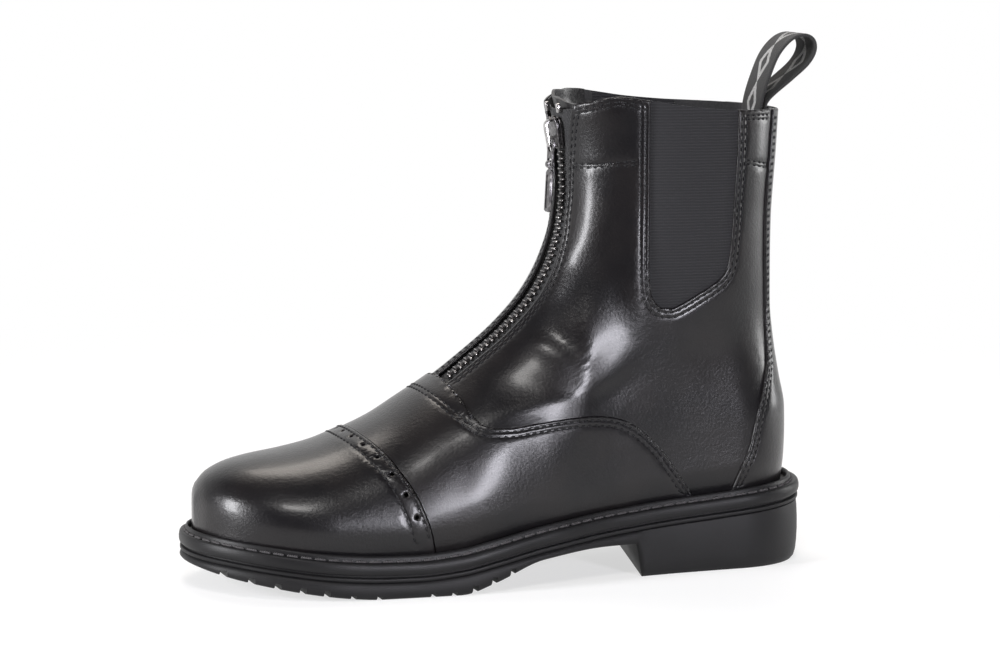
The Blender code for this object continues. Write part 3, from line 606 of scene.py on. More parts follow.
# %% Lining, thread and elastic
def lining():
    finish = Finish("lining_textile", (0.02, 0.02, 0.021), 0.9, Sheen_Weight=0.15)
    place = finish.where()
    fibre = finish.noise(place, 0.9, 4.0, 0.7)
    cloud = finish.noise(place, 12, 2.0)
    dark, light = (0.014, 0.014, 0.015, 1), (0.036, 0.035, 0.036, 1)
    finish.set("Base Color", finish.mix((fibre * 0.6 + cloud * 0.4).above(0.35, 0.7), dark, light))
    finish.set("Normal", finish.bump(fibre, 0.0004, 0.7))
    return finish.material


def thread(name, dark, light):
    finish = Finish(name, dark, 0.7, Specular_IOR_Level=0.3)
    place = finish.where()
    strands = finish.noise(place, 0.25, 1.0)
    finish.set("Base Color", finish.mix(strands, (*dark, 1), (*light, 1)))
    finish.set("Normal", finish.bump(strands, 0.0001, 0.5))
    return finish.material


def elastic():
    finish = Finish("ribbed_elastic", (0.01, 0.01, 0.012), 0.85, Sheen_Weight=0.1)
    place = finish.where()
    x, _, z = finish.axes(place)
    drift = finish.noise(place, 9, 2.0)
    rib = ((z + 0.25 * drift) * (2 * math.pi / 1.25)).math("SINE") * 0.5 + 0.5
    warp = (x * (2 * math.pi / 0.8)).math("SINE") * 0.5 + 0.5
    weave = rib * 0.7 + rib * warp * 0.3
    speck = finish.noise(place, 0.6, 1.0)
    shade = (weave * 0.6 + speck * 0.4).above(0.2, 0.95)
    finish.set("Base Color", finish.mix(shade, (0.004, 0.004, 0.0055, 1), (0.016, 0.0155, 0.018, 1)))
    finish.set("Normal", finish.bump(weave + 0.3 * speck, 0.00022, 0.8))
    return finish.material


lining_textile, ribbed_elastic = lining(), elastic()
sewing_thread = thread("sewing_thread", (0.003, 0.003, 0.004), (0.009, 0.009, 0.01))
welt_thread = thread("welt_thread", (0.02, 0.019, 0.02), (0.09, 0.085, 0.087))
print("textiles:", lining_textile.name, sewing_thread.name, ribbed_elastic.name)


# %% Tapes
def tape(name, base, light, chevron, patterned=False):
    """Herringbone tape: the map of the strip comes with the mesh, along and across in millimetres."""
    finish = Finish(name, base, 0.85, Sheen_Weight=0.1)
    strip = finish.node("ShaderNodeAttribute", out="Vector", attribute_name="strip")
    run, across, _ = finish.axes(strip)
    lean = ((across / chevron).math("PINGPONG", 1.0)) * chevron
    twill = ((run + lean) * (2 * math.pi / 1.1)).math("SINE") * 0.5 + 0.5
    fibre = finish.noise(finish.where(), 0.35, 2.0, 0.7)
    weave = twill * 0.75 + fibre * 0.25
    colour = finish.mix(weave.above(0.2, 0.9), (*base, 1), (*light, 1))
    if patterned:
        step = (run / 9.0).math("PINGPONG", 1.0)
        diamond = (step * 4.6 + across.math("ABSOLUTE")).above(5.0, 4.6)
        core = (step * 4.6 + across.math("ABSOLUTE")).above(2.6, 2.2)
        figure = diamond * (1 - core) * twill.above(0.15, 0.6)
        colour = finish.mix(figure, colour, (0.55, 0.55, 0.54, 1))
        weave = weave + 0.35 * figure
    finish.set("Base Color", colour)
    finish.set("Normal", finish.bump(weave, 0.0003, 0.8))
    return finish.material


zip_tape_cloth = tape("zip_tape_cloth", (0.007, 0.007, 0.008), (0.022, 0.022, 0.024), 3.5)
loop_webbing = tape("loop_webbing", (0.007, 0.007, 0.007), (0.028, 0.028, 0.028), 5.0, patterned=True)
print("tapes:", zip_tape_cloth.name, loop_webbing.name)

# %% [markdown]
# ## Rubber and metal
# The sole is moulded rubber, matt with a faint bloom and the small nicks of handling. The zip is
# gunmetal: dark plated brass that shows brighter metal where it rubs.

# %% Rubber and metal finishes
def rubber(name, roughness):
    finish = Finish(name, (0.007, 0.007, 0.0075), roughness, Specular_IOR_Level=0.2)
    place = finish.where()
    cloud = finish.noise(place, 18, 4.0, 0.6)
    speck = finish.noise(place, 0.7, 2.0, 0.7)
    dust = speck.above(0.68, 0.78) * cloud.above(0.45, 0.65)
    colour = finish.mix(cloud, (0.005, 0.005, 0.0055, 1), (0.011, 0.0105, 0.011, 1))
    finish.set("Base Color", finish.mix(dust * 0.35, colour, (0.14, 0.135, 0.135, 1)))
    finish.set("Roughness", roughness - 0.06 + 0.14 * cloud)
    finish.set("Normal", finish.bump(speck * 0.5 + cloud * 0.5, 0.00025, 0.35))
    return finish.material


def metal(name, dark, bright, roughness):
    finish = Finish(name, dark, roughness, Metallic=1.0)
    place = finish.where()
    rub = finish.noise(place, 1.6, 3.0, 0.6)
    fine = finish.noise(place, 0.3, 1.0)
    finish.set("Base Color", finish.mix(rub.above(0.45, 0.7), (*dark, 1), (*bright, 1)))
    finish.set("Roughness", roughness + 0.12 * fine)
    finish.set("Normal", finish.bump(fine, 0.00004, 0.4))
    return finish.material


sole_rubber = rubber("sole_rubber", 0.5)
welt_rubber = rubber("welt_rubber", 0.42)
gunmetal = metal("gunmetal", (0.10, 0.095, 0.10), (0.30, 0.29, 0.29), 0.3)
tooth_metal = metal("tooth_metal", (0.20, 0.19, 0.19), (0.5, 0.49, 0.48), 0.25)
bright_metal = metal("rubbed_metal", (0.32, 0.31, 0.31), (0.6, 0.59, 0.58), 0.22)
print("hard finishes:", sole_rubber.name, welt_rubber.name, gunmetal.name, bright_metal.name)

# %% [markdown]
# ## Floor, light and camera
# The floor is lit partly by the lamps on its grey colour and partly by painted light, its own emission. That
# glow grows away from the boot until it alone makes the floor white, and it is left out on the camera's
# side, from 190 mm before the boot's middle line, where the floor turns dark. The surround is bright only
# behind the boot, so that no horizon shows there and the leather mirrors little from the front. Black
# polished leather shows lamps more than it shows colour, so the five soft boxes are placed where it should
# mirror them: one far to the left for the shaft, one right of the camera for the vamp and its folds, one
# above the camera for the toe, one to the right for the backstay, and a warm one high behind for the top.
# The camera looks a little down on the outer side, turned towards the toe.

# %% Floor and surround
FLOOR_REACH = 6.0
FLOOR_COLOUR, FLOOR_DARK = (0.4, 0.4, 0.4), (0.03, 0.03, 0.03, 1)
NEAR_GLOW, FAR_GLOW = (0.62, 0.62, 0.62, 1), (1, 1, 1, 1)
GLOW_FROM, GLOW_TO = 0.25, 0.8  # metres from the origin over which the glow grows
AWAY = (0.342, 0.940, 0.0)  # direction over the floor from the camera to the boot
DARK_FROM, DARK_TO = -0.30, -0.19  # metres along it over which the floor turns from dark to pale
SURROUND_STEP = (("From Min", 0.3), ("From Max", 0.75), ("To Min", 0.045), ("To Max", 1.0))


def make_floor():
    mesh = bpy.data.meshes.new("studio_floor")
    reach = FLOOR_REACH
    mesh.from_pydata([(-reach, -reach, 0), (reach, -reach, 0), (reach, reach, 0), (-reach, reach, 0)], [],
                     [(0, 1, 2, 3)])
    floor = bpy.data.objects.new("studio_floor", mesh)
    bpy.context.scene.collection.objects.link(floor)
    finish = Finish("glowing_floor", FLOOR_COLOUR, 0.9, Specular_IOR_Level=0.0)
    place = finish.node("ShaderNodeTexCoord", out="Object")
    distance = finish.node("ShaderNodeVectorMath", {0: place}, out="Value", operation="LENGTH")
    # Painted light: the floor's own glow. It is weaker near the boot, where the lamps light its grey colour,
    # and full far away, where that colour fades to black. It is dim on the camera's side.
    far = distance.above(GLOW_FROM, GLOW_TO)
    behind = finish.node("ShaderNodeVectorMath", {0: place, 1: AWAY}, out="Value", operation="DOT_PRODUCT")
    pale = behind.above(DARK_FROM, DARK_TO)
    glow = finish.mix(far, NEAR_GLOW, FAR_GLOW)
    finish.set("Base Color", finish.mix(far, (*FLOOR_COLOUR, 1), (0, 0, 0, 1)))
    finish.set("Emission Color", finish.mix(pale, FLOOR_DARK, glow))
    finish.set("Emission Strength", 1.0)
    mesh.materials.append(finish.material)


def make_surround():
    world = bpy.data.worlds.new("studio_surround")
    world.use_nodes = True
    bpy.context.scene.world = world
    tree = world.node_tree
    background = tree.nodes["Background"]
    place = tree.nodes.new("ShaderNodeTexCoord")
    parts = tree.nodes.new("ShaderNodeSeparateXYZ")
    step = tree.nodes.new("ShaderNodeMapRange")
    step.interpolation_type = "SMOOTHSTEP"
    for key, value in SURROUND_STEP:
        step.inputs[key].default_value = value
    tree.links.new(place.outputs["Generated"], parts.inputs[0])
    tree.links.new(parts.outputs["Y"], step.inputs["Value"])
    tree.links.new(step.outputs[0], background.inputs["Color"])
    background.inputs["Strength"].default_value = 1.0


make_floor()
make_surround()
bpy.context.scene.view_settings.view_transform = "Standard"
print("floor and surround are in place")


# %% Soft boxes: azimuth and elevation from the boot, distance, width, height, power, colour
SOFT_BOXES = [
    (-82, 9, 1.5, 0.34, 0.85, 36, (0.97, 0.97, 1.0)),
    (16, 8, 1.6, 0.24, 0.50, 20, (0.93, 0.92, 1.0)),
    (-24, 46, 1.5, 0.30, 0.28, 7, (1.0, 0.98, 0.96)),
    (92, 12, 1.5, 0.35, 0.8, 10, (1.0, 1.0, 1.0)),
    (170, 62, 1.6, 0.8, 0.6, 11, (1.0, 0.93, 0.86)),
]
AIM = Vector((-0.001, 0.001, 0.105))


def outward(azimuth, elevation):
    """Direction from the boot, with azimuth 0 towards -Y and 90 towards +X."""
    a, e = math.radians(azimuth), math.radians(elevation)
    return Vector((math.sin(a) * math.cos(e), -math.cos(a) * math.cos(e), math.sin(e)))


def make_soft_box(i, azimuth, elevation, distance, width, height, power, colour):
    lamp = bpy.data.lights.new(f"soft_box_{i}", "AREA")
    lamp.shape = "RECTANGLE"
    lamp.size, lamp.size_y = width, height
    lamp.energy, lamp.color = power, colour
    box = bpy.data.objects.new(lamp.name, lamp)
    bpy.context.scene.collection.objects.link(box)
    away = outward(azimuth, elevation)
    box.location = AIM + away * distance
    box.rotation_euler = away.to_track_quat("Z", "Y").to_euler()


for i, row in enumerate(SOFT_BOXES):
    make_soft_box(i, *row)
print(len(SOFT_BOXES), "soft boxes")


# %% Camera at the photograph's angle
def make_camera():
    azimuth, elevation, roll, distance = -20.0, 7.7, math.radians(0.6), 1.43
    back = outward(azimuth, elevation)
    right = (-back).cross(Vector((0, 0, 1))).normalized()
    up = right.cross(-back)
    across = right * math.cos(roll) + up * math.sin(roll)
    above = up * math.cos(roll) - right * math.sin(roll)
    camera = bpy.data.cameras.new("photo_camera")
    camera.lens, camera.sensor_width = 120.56, 36.0
    seat = bpy.data.objects.new("photo_camera", camera)
    bpy.context.scene.collection.objects.link(seat)
    turned = Matrix((across, above, back)).transposed().to_4x4()
    seat.matrix_world = Matrix.Translation(AIM + back * distance) @ turned
    bpy.context.scene.camera = seat


make_camera()
print("camera is", round(bpy.context.scene.camera.location.length, 2), "m away")

# %% [markdown]
# ## From points to pieces
# Each piece is a closed mesh in the boot's own millimetres. It is moved to the middle of the floor,
# shaded smooth with its sharp edges kept, and joined to the body that it rides on.

# %% Making a piece
def make_piece(name, points, faces, finishes, which=None, body="boot", slot=None, node=None, sharp=42):
    mesh = bpy.data.meshes.new(name)
    placed = (np.asarray(points, float).reshape(-1, 3) - CENTRE) / 1000
    mesh.from_pydata(placed.tolist(), [], [tuple(int(i) for i in face) for face in faces])
    for finish in finishes:
        mesh.materials.append(finish)
    if which is not None:
        mesh.polygons.foreach_set("material_index", np.asarray(which, dtype=np.int32))
    mesh.shade_smooth()
    mesh.set_sharp_from_angle(angle=math.radians(sharp))
    mesh.update()
    obj = bpy.data.objects.new(name, mesh)
    bpy.context.scene.collection.objects.link(obj)
    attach(obj, body)
    if node:
        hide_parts(*([node] if isinstance(node, str) else node))
    print(f"{name}: {len(mesh.vertices)} points, {len(mesh.polygons)} faces")
    return obj


def store_strip(obj, strip):
    """Keep along and across in millimetres with each point."""
    values = np.zeros((len(obj.data.vertices), 3))
    values[:, :2] = strip
    layer = obj.data.attributes.new("strip", "FLOAT_VECTOR", "POINT")
    layer.data.foreach_set("vector", values.ravel())


def band(first, second, count):
    """Quads between two closed rows of points that start at these numbers."""
    return [(first + i, first + (i + 1) % count, second + (i + 1) % count, second + i)
            for i in range(count)]


# %% [markdown]
# ## Cutting a panel of leather
# A panel has a curved outline, cut-outs, rows of stitches and a rolled edge. Cutting it out of a
# regular net of squares leaves ragged edges that show in polished leather. Here the points come
# first: along the outline, in rows just inside each cut edge, beside each row of stitches, and
# then a loose net in between. A constrained triangulation joins them on the flat map, and the map is
# laid on the last. The outer face drops in a quarter circle at a cut edge and in a small trough
# under a stitch row, and the inner face and a rim close the piece.

# %% Nearest distances and the inside of an outline
FLAT = np.array([75.0, 190.0])
NET = 2.1
MAP_HEIGHT = 290  # millimetres that the whole height of the map is taken as
EDGE_ROWS = (0.2, 0.45, 0.85, 1.4)
ROLL = 0.8
GROOVE_ROWS = (-0.9, -0.4, 0.0, 0.4, 0.9)
GROOVE_DEPTH, GROOVE_WIDTH = 0.28, 0.5


def nearest(points, others):
    """Distance from each point to the nearest of the others."""
    result = np.full(len(points), np.inf)
    if not len(others):
        return result
    square = (others ** 2).sum(1)
    for start in range(0, len(points), 1500):
        block = points[start:start + 1500]
        apart = (block ** 2).sum(1)[:, None] + square - 2 * block @ others.T
        result[start:start + 1500] = np.sqrt(np.maximum(apart.min(1), 0))
    return result


def inside(points, outline):
    """True for map points inside a closed outline."""
    x, y = points[:, 0], points[:, 1]
    result = np.zeros(len(points), bool)
    for (x1, y1), (x2, y2) in zip(outline, np.roll(outline, -1, axis=0)):
        if y1 == y2:
            continue
        crosses = (y1 > y) != (y2 > y)
        result ^= crosses & (x < (x2 - x1) * (y - y1) / (y2 - y1) + x1)
    return result


def net(outline):
    """Loose net of map points over an outline, staggered ring by ring."""
    low, high = outline.min(0), outline.max(0)
    found = []
    for i, up in enumerate(np.arange(low[1] + 0.004, high[1], NET / MAP_HEIGHT)):
        ring = skin(np.linspace(low[0], high[0], 60), np.full(60, up))
        length = np.linalg.norm(np.diff(ring, axis=0), axis=1).sum()
        count = max(3, int(length / NET))
        turn = low[0] + (np.arange(count) + 0.5 * (i % 2)) / count * (high[0] - low[0])
        found.append(np.column_stack([turn, np.full(count, up)]))
    found = np.concatenate(found)
    return found[inside(found, outline)]


def fences_of(rings):
    """Edges that keep each ring whole in a triangulation, numbered through."""
    fences, start = [], 0
    for ring in rings:
        fences += [(start + i, start + (i + 1) % len(ring)) for i in range(len(ring))]
        start += len(ring)
    return fences


def shell(triangles, count):
    """Faces of a closed plate from its triangles, and how many make the rim."""
    directed = np.concatenate([triangles[:, [0, 1]], triangles[:, [1, 2]], triangles[:, [2, 0]]])
    keys = {tuple(pair) for pair in directed.tolist()}
    rim = [(a, b) for a, b in keys if (b, a) not in keys]
    faces = [tuple(t[::-1]) for t in triangles.tolist()]
    faces += [tuple(i + count for i in t) for t in triangles.tolist()]
    return faces + [(a, b, b + count, a + count) for a, b in rim], len(rim)


def loop(*lines, step=1.2):
    """One closed outline from lines that follow each other."""
    return np.concatenate([resample(np.asarray(line, float), step)[:-1] for line in lines])


print("a net point every", NET, "mm")


# %% Cutting the panel
def on_skin(line):
    return skin(line[:, 0], line[:, 1])


def cut_panel(name, outline, top, bottom, finishes, edges=(), rows=(), holes=(), **place):
    """Closed panel of leather between two heights, with rolled edges, stitch troughs and holes."""
    extra = []
    for edge in edges:
        edge = resample(edge, 1.0)
        for distance in EDGE_ROWS:
            for sign in (-1, 1):
                extra.append(beside(edge, distance * sign))
    for row in rows:
        row = resample(row, 0.8)
        extra += [beside(row, distance) for distance in GROOVE_ROWS]
    for hole in holes:
        middle = hole.mean(0)
        extra += [middle + (hole - middle) * grow for grow in (1.35, 1.8)]
    extra = np.concatenate(extra) if extra else np.zeros((0, 2))
    extra = extra[inside(extra, outline)]
    for hole in holes:
        extra = extra[~inside(extra, hole)]
    border = np.concatenate([outline, *holes])
    extra = extra[nearest(on_skin(extra), on_skin(border)) > 0.12]
    loose = net(outline)
    fixed = on_skin(np.concatenate([border, extra]))
    loose = loose[nearest(on_skin(loose), fixed) > 0.95]
    for hole in holes:
        loose = loose[~inside(loose, hole)]
    flat = np.concatenate([border, extra, loose]) * FLAT
    fences = fences_of([outline, *holes])
    found = delaunay_2d_cdt([Vector(p) for p in flat], fences, [], 0, 1e-5, False)
    line = np.array([tuple(v) for v in found[0]]) / FLAT
    triangles = np.array([face for face in found[2]])
    middle = line[triangles].mean(1)
    keep = inside(middle, outline)
    for hole in holes:
        keep &= ~inside(middle, hole)
    triangles = triangles[keep]
    return close_panel(name, line, triangles, top, bottom, finishes, edges, rows, holes, **place)


def close_panel(name, line, triangles, top, bottom, finishes, edges, rows, holes, **place):
    used, triangles = np.unique(triangles, return_inverse=True)
    line, triangles = line[used], triangles.reshape(-1, 3)
    points = on_skin(line)
    drop = np.zeros(len(line))
    if len(edges):
        rims = on_skin(np.concatenate([resample(edge, 0.3) for edge in edges]))
        gap = np.clip(ROLL - nearest(points, rims), 0, ROLL)
        drop += ROLL - np.sqrt(ROLL ** 2 - gap ** 2)
    if len(rows):
        marks = on_skin(np.concatenate([resample(row, 0.3) for row in rows]))
        drop += GROOVE_DEPTH * np.exp(-(nearest(points, marks) / GROOVE_WIDTH) ** 2)
    if len(holes):
        marks = on_skin(np.concatenate([resample(np.r_[hole, hole[:1]], 0.15) for hole in holes]))
        drop += 0.35 * np.exp(-(nearest(points, marks) / 0.35) ** 2)
    outer = raised(line, top - drop)
    inner = raised(line, np.full(len(line), bottom))
    faces, rim = shell(triangles, len(line))
    which = np.r_[np.zeros(len(triangles)), np.full(len(triangles), len(finishes) - 1),
                  np.full(rim, min(1, len(finishes) - 1))]
    return make_piece(name, np.concatenate([outer, inner]), faces, finishes, which, **place)


print("a cut edge rolls over", ROLL, "mm")

# %% [markdown]
# ## Sewing
# A stitch is a short thread that rises out of one needle hole and dives into the next. Each one is
# modelled, because rows of them are what the eye reads on black leather. The threads sit in the
# troughs that the panels keep for them.

# %% Sewing a row
def sew(name, lines, height, pitch=3.2, share=0.66, width=0.46):
    """Stitches along map lines, at a height over the last."""
    points, faces = [], []
    for line in lines:
        run = np.r_[0, np.cumsum(np.linalg.norm(np.diff(on_skin(line), axis=0), axis=1))]
        count = int(run[-1] / pitch)
        if count < 1:
            continue
        t = np.linspace(-1, 1, 5)
        marks = (np.arange(count)[:, None] + 0.5 + share / 2 * t) * run[-1] / count
        place = np.stack([np.interp(marks, run, line[:, 0]), np.interp(marks, run, line[:, 1])], -1)
        point, normal, _, _ = lie(place[..., 0], place[..., 1])
        lift = height + 0.05 - 0.42 * t ** 4 + relief(point)
        point = point + normal * lift[..., None]
        tangent = np.gradient(point, axis=1)
        tangent /= np.linalg.norm(tangent, axis=-1, keepdims=True)
        side = np.cross(tangent, normal)
        spread = np.sqrt(1 - 0.75 * t ** 2)[None, :, None, None]
        angle = np.radians(np.arange(0, 360, 60))
        ring = (side[:, :, None] * np.cos(angle)[:, None] * width
                + normal[:, :, None] * np.sin(angle)[:, None] * width * 0.75) * spread
        ring = point[:, :, None] + ring
        base = sum(len(p) for p in points)
        points.append(ring.reshape(-1, 3))
        for i in range(count):
            start = base + i * 30
            for j in range(4):
                faces += band(start + 6 * j, start + 6 * j + 6, 6)
            faces += [tuple(range(start + 5, start - 1, -1)), tuple(range(start + 24, start + 30))]
    return make_piece(name, np.concatenate(points), faces, [sewing_thread], slot="upper_leather", sharp=80)


print("stitches are set one by one")

# %% [markdown]
# ## Toe cap and vamp
# The toe cap lies over the vamp, and its rear edge is decorated: a row of stitches by the edge,
# another nine to ten millimetres ahead, and punched holes between them. The vamp lies over the two
# quarters. Its double row of stitches starts well ahead of the tongue-shaped edge and closes up to
# it along the sides.

# %% Toe cap
CAP_TOP, VAMP_TOP, COUNTER_TOP = 1.9, 1.3, 1.3


def clip_up(line):
    return line[(line[:, 1] > 0.012) & (line[:, 1] < 0.992)]


def round_hole(turn, up, radius, sides=14):
    """Map loop of a round hole of a radius in millimetres."""
    _, _, by_turn, by_up = lie(turn, up)
    normal_turn = by_turn / np.linalg.norm(by_turn)
    side = by_up - normal_turn * (by_up @ normal_turn)
    height = np.linalg.norm(side)
    angle = np.linspace(0, 2 * math.pi, sides, endpoint=False)
    in_up = radius * np.sin(angle) / height
    slant = (by_up @ normal_turn) * in_up
    in_turn = (radius * np.cos(angle) - slant) / np.linalg.norm(by_turn)
    return np.column_stack([turn + in_turn, up + in_up])


cap_outline = loop(np.array([(cap_line[0, 0], 0), (0, 0), (cap_line[-1, 0], 0)]), cap_line[::-1])
cap_rows = [clip_up(beside(cap_line, -1.7)), clip_up(cap_row)]
hole_line = resample(clip_up(0.52 * cap_line + 0.48 * cap_row), 9.8)
cap_holes = [round_hole(*point, 0.95) for point in hole_line[1:-1]]
cut_panel("toe_cap_leather", cap_outline, CAP_TOP, 0.05, [upper_leather, edge_leather],
          edges=[cap_line], rows=cap_rows, holes=cap_holes, slot="upper_leather", node="toe_cap")
sew("toe_cap_stitches", cap_rows, CAP_TOP - 0.12, pitch=3.0)

# %% Vamp
front_line = beside(cap_line, 0.35)
front_line[[0, -1], 1] = 0
vamp_outline = loop(np.array([(vamp_line[0, 0], 0), (front_line[0, 0], 0)]), front_line,
                    np.array([(front_line[-1, 0], 0), (vamp_line[-1, 0], 0)]), vamp_line[::-1])
vamp_rows = [clip_up(vamp_row), clip_up(beside(vamp_row, -2.2, 2))]
cut_panel("vamp_leather", vamp_outline, VAMP_TOP, 0.05, [upper_leather, edge_leather],
          edges=[vamp_line], rows=vamp_rows, slot="upper_leather", node="vamp")
sew("vamp_stitches", vamp_rows, VAMP_TOP - 0.12)

# %% [markdown]
# ## Heel counter and backstay
# One piece of leather wraps the heel and runs up the back seam to the collar, with two rows of
# stitches along each edge. On the map it lies on both sides of the back, so its inner half is
# written one whole turn further on.

# %% Heel counter
outer_edge, inner_edge = counters[-1].copy(), counters[1].copy()
outer_edge[:, 0] += 2 * math.pi
back_span = (inner_edge[0, 0], outer_edge[0, 0])
top_span = (inner_edge[-1, 0], outer_edge[-1, 0])
counter_outline = loop(np.array([(back_span[0], 0), (back_span[1], 0)]), outer_edge,
                       np.array([(top_span[1], 1), (top_span[0], 1)]), inner_edge[::-1])
counter_rows = [clip_up(beside(inner_edge, -distance)) for distance in (1.6, 3.6)]
counter_rows += [clip_up(beside(outer_edge, distance)) for distance in (1.6, 3.6)]
cut_panel("counter_leather", counter_outline, COUNTER_TOP, 0.05, [upper_leather, edge_leather],
          edges=[outer_edge, inner_edge, np.array([(top_span[0], 1.0), (math.pi, 1.0), (top_span[1], 1.0)])],
          rows=counter_rows, slot="upper_leather", node="heel_counter")
sew("counter_stitches", counter_rows, COUNTER_TOP - 0.12, pitch=2.8)

# %% [markdown]
# ## Quarters
# The quarters are the two sides of the boot. Each runs from the zip to the backstay and is cut out
# for the elastic. The zip edge, the elastic's edge and the collar are rolled, and every one carries a
# double row. A further double row crosses the shaft where the cuff's facing ends. The quarters go
# on a little way under the vamp and the counter, as on a real boot.

# %% Outlines and rows of the quarters
UNDER_VAMP = [(x, z - 7) for x, z in VAMP_SEAM]
LEATHER_BOTTOM = -1.0
ZIP_ROWS, ELASTIC_ROWS, COLLAR_ROWS, CUFF_ROWS = (2.0, 4.2), (1.8, 4.0), (2.2, 3.9), (0.0, 1.6)
COLLAR_FRONT_END, COLLAR_REAR = 51.0, (97.5, 112.0)  # x of the ends of the collar's rows
CUFF_FRONT_END, CUFF_REAR = 49.5, (97.6, 111.0)  # x of the ends of the cuff's rows
CUFF_CLEAR_OF_ZIP = 12.0  # distance from the middle plane at which the cuff's rows start


def quarter_outline(side):
    """Outline of one quarter, drawn for the outer side and mirrored for the inner."""
    low = over_ridge(above_row(UNDER_VAMP), 321)
    low = low[low[:, 0] <= 0]
    slot, gusset, rear = slots[side].copy(), gussets[side].copy(), counter_line(side, 5.0)
    for line in (slot, gusset, rear):
        line[:, 0] = -np.abs(line[:, 0])
    lines = [np.array([(rear[0, 0], 0), (low[0, 0], 0)]), low, np.array([low[-1], (0, slot[0, 1])]),
             np.array([(0, slot[0, 1]), slot[0]]), slot, np.array([(slot[-1, 0], 1), gusset[0]]),
             gusset, np.array([gusset[-1], (rear[-1, 0], 1)]), rear[::-1]]
    outline = loop(*lines)
    return outline if side < 0 else (outline * (-1, 1))[::-1]


def quarter_rows(side):
    """Stitch rows of one quarter."""
    slot, gusset = slots[side], gussets[side]
    turn_way = 1 if side < 0 else -1
    rows = [beside(slot, distance * turn_way) for distance in ZIP_ROWS]
    rows = [row[(row[:, 1] < 0.985)] for row in rows]
    rows += [clip_up(beside(gusset, distance * turn_way)) for distance in ELASTIC_ROWS]
    front_x = on_skin(slot)[-1, 0] + 1.2
    for drop in COLLAR_ROWS:
        turns = np.linspace(abs(slot[-1, 0]), math.pi, 300) * side
        edge = np.column_stack([turns, np.ones(300)])
        row = beside(edge, drop * turn_way)
        x = on_skin(row)[:, 0]
        rows.append(row[(x > front_x) & (x < COLLAR_FRONT_END)])
        rows.append(row[(x > COLLAR_REAR[0]) & (x < COLLAR_REAR[1])])
    for drop in CUFF_ROWS:
        row = cuff_line(side, drop)
        x = on_skin(row)[:, 0]
        y = np.abs(on_skin(row)[:, 1])
        rows.append(row[(y > CUFF_CLEAR_OF_ZIP) & (x < CUFF_FRONT_END)])
        rows.append(row[(x > CUFF_REAR[0]) & (x < CUFF_REAR[1])])
    return rows


outlines = {side: quarter_outline(side) for side in (-1, 1)}
stitch_rows = {side: quarter_rows(side) for side in (-1, 1)}
print("outer quarter's outline has", len(outlines[-1]), "points and", len(stitch_rows[-1]), "rows")

# %% Cutting the quarters
for side, name in ((-1, "outer"), (1, "inner")):
    collar = np.column_stack([np.linspace(0.2, math.pi, 200) * side, np.ones(200)])
    cut_panel(f"quarter_{name}", outlines[side], 0.0, LEATHER_BOTTOM, [upper_leather, edge_leather],
              edges=[slots[side], gussets[side], collar], rows=stitch_rows[side],
              slot="upper_leather", node="upper" if side < 0 else None)
    sew(f"quarter_stitches_{name}", stitch_rows[side], -0.12)

# %% [markdown]
# ## Lining and elastic
# Inside the leather lies a textile lining, and the elastic is caught between the two. It sits about
# a millimetre below the leather's face, so the cut-out keeps its edge and its shadow.

# %% Lining and elastic panels
def lining_outline(side):
    slot, gusset = slot_line(side, 1.2), gussets[side].copy()
    gusset[:, 0] = -np.abs(gusset[:, 0])
    slot[:, 0] = -np.abs(slot[:, 0])
    gusset = gusset[gusset[:, 1] < 1]
    gusset = np.concatenate([[(gusset[0, 0], 1)], gusset, [(gusset[-1, 0], 1)]])
    lines = [np.array([(-math.pi, 0), (0, 0)]), np.array([(0, 0), (0, slot[0, 1])]),
             np.array([(0, slot[0, 1]), slot[0]]), slot, np.array([(slot[-1, 0], 1), gusset[0]]),
             gusset, np.array([gusset[-1], (-math.pi, 1)]), np.array([(-math.pi, 1), (-math.pi, 0)])]
    outline = loop(*lines, step=2.0)
    return outline if side < 0 else (outline * (-1, 1))[::-1]


def elastic_outline(side):
    edge = gussets[side].copy()
    edge[:, 0] = -np.abs(edge[:, 0])
    wider = beside(edge, 3.0, 3)
    wider = wider[(wider[:, 1] < 1)]
    ends = [np.array([[wider[0, 0], 1.0]]), np.array([[wider[-1, 0], 1.0]])]
    line = np.concatenate([ends[0], wider, ends[1]])
    outline = loop(line, np.array([line[-1], line[0]]))
    return outline if side < 0 else (outline * (-1, 1))[::-1]


for side, name in ((-1, "outer"), (1, "inner")):
    cut_panel(f"lining_{name}", lining_outline(side), -1.5, -2.2, [lining_textile],
              slot="lining_textile")
    cut_panel(f"elastic_{name}", elastic_outline(side), -1.04, -1.46, [ribbed_elastic],
              slot="elastic", node=f"gusset_{name}")

# %% [markdown]
# ## The zip
# The tape is a flat strip behind the opening, the teeth stand on its middle, and a leather guard
# keeps both off the leg. Tape and guard are strips across the ridge, found from the same last at
# their own depth.

# %% Strips behind the ridge
STRIP_ROWS, STRIP_COLUMNS = 90, 41


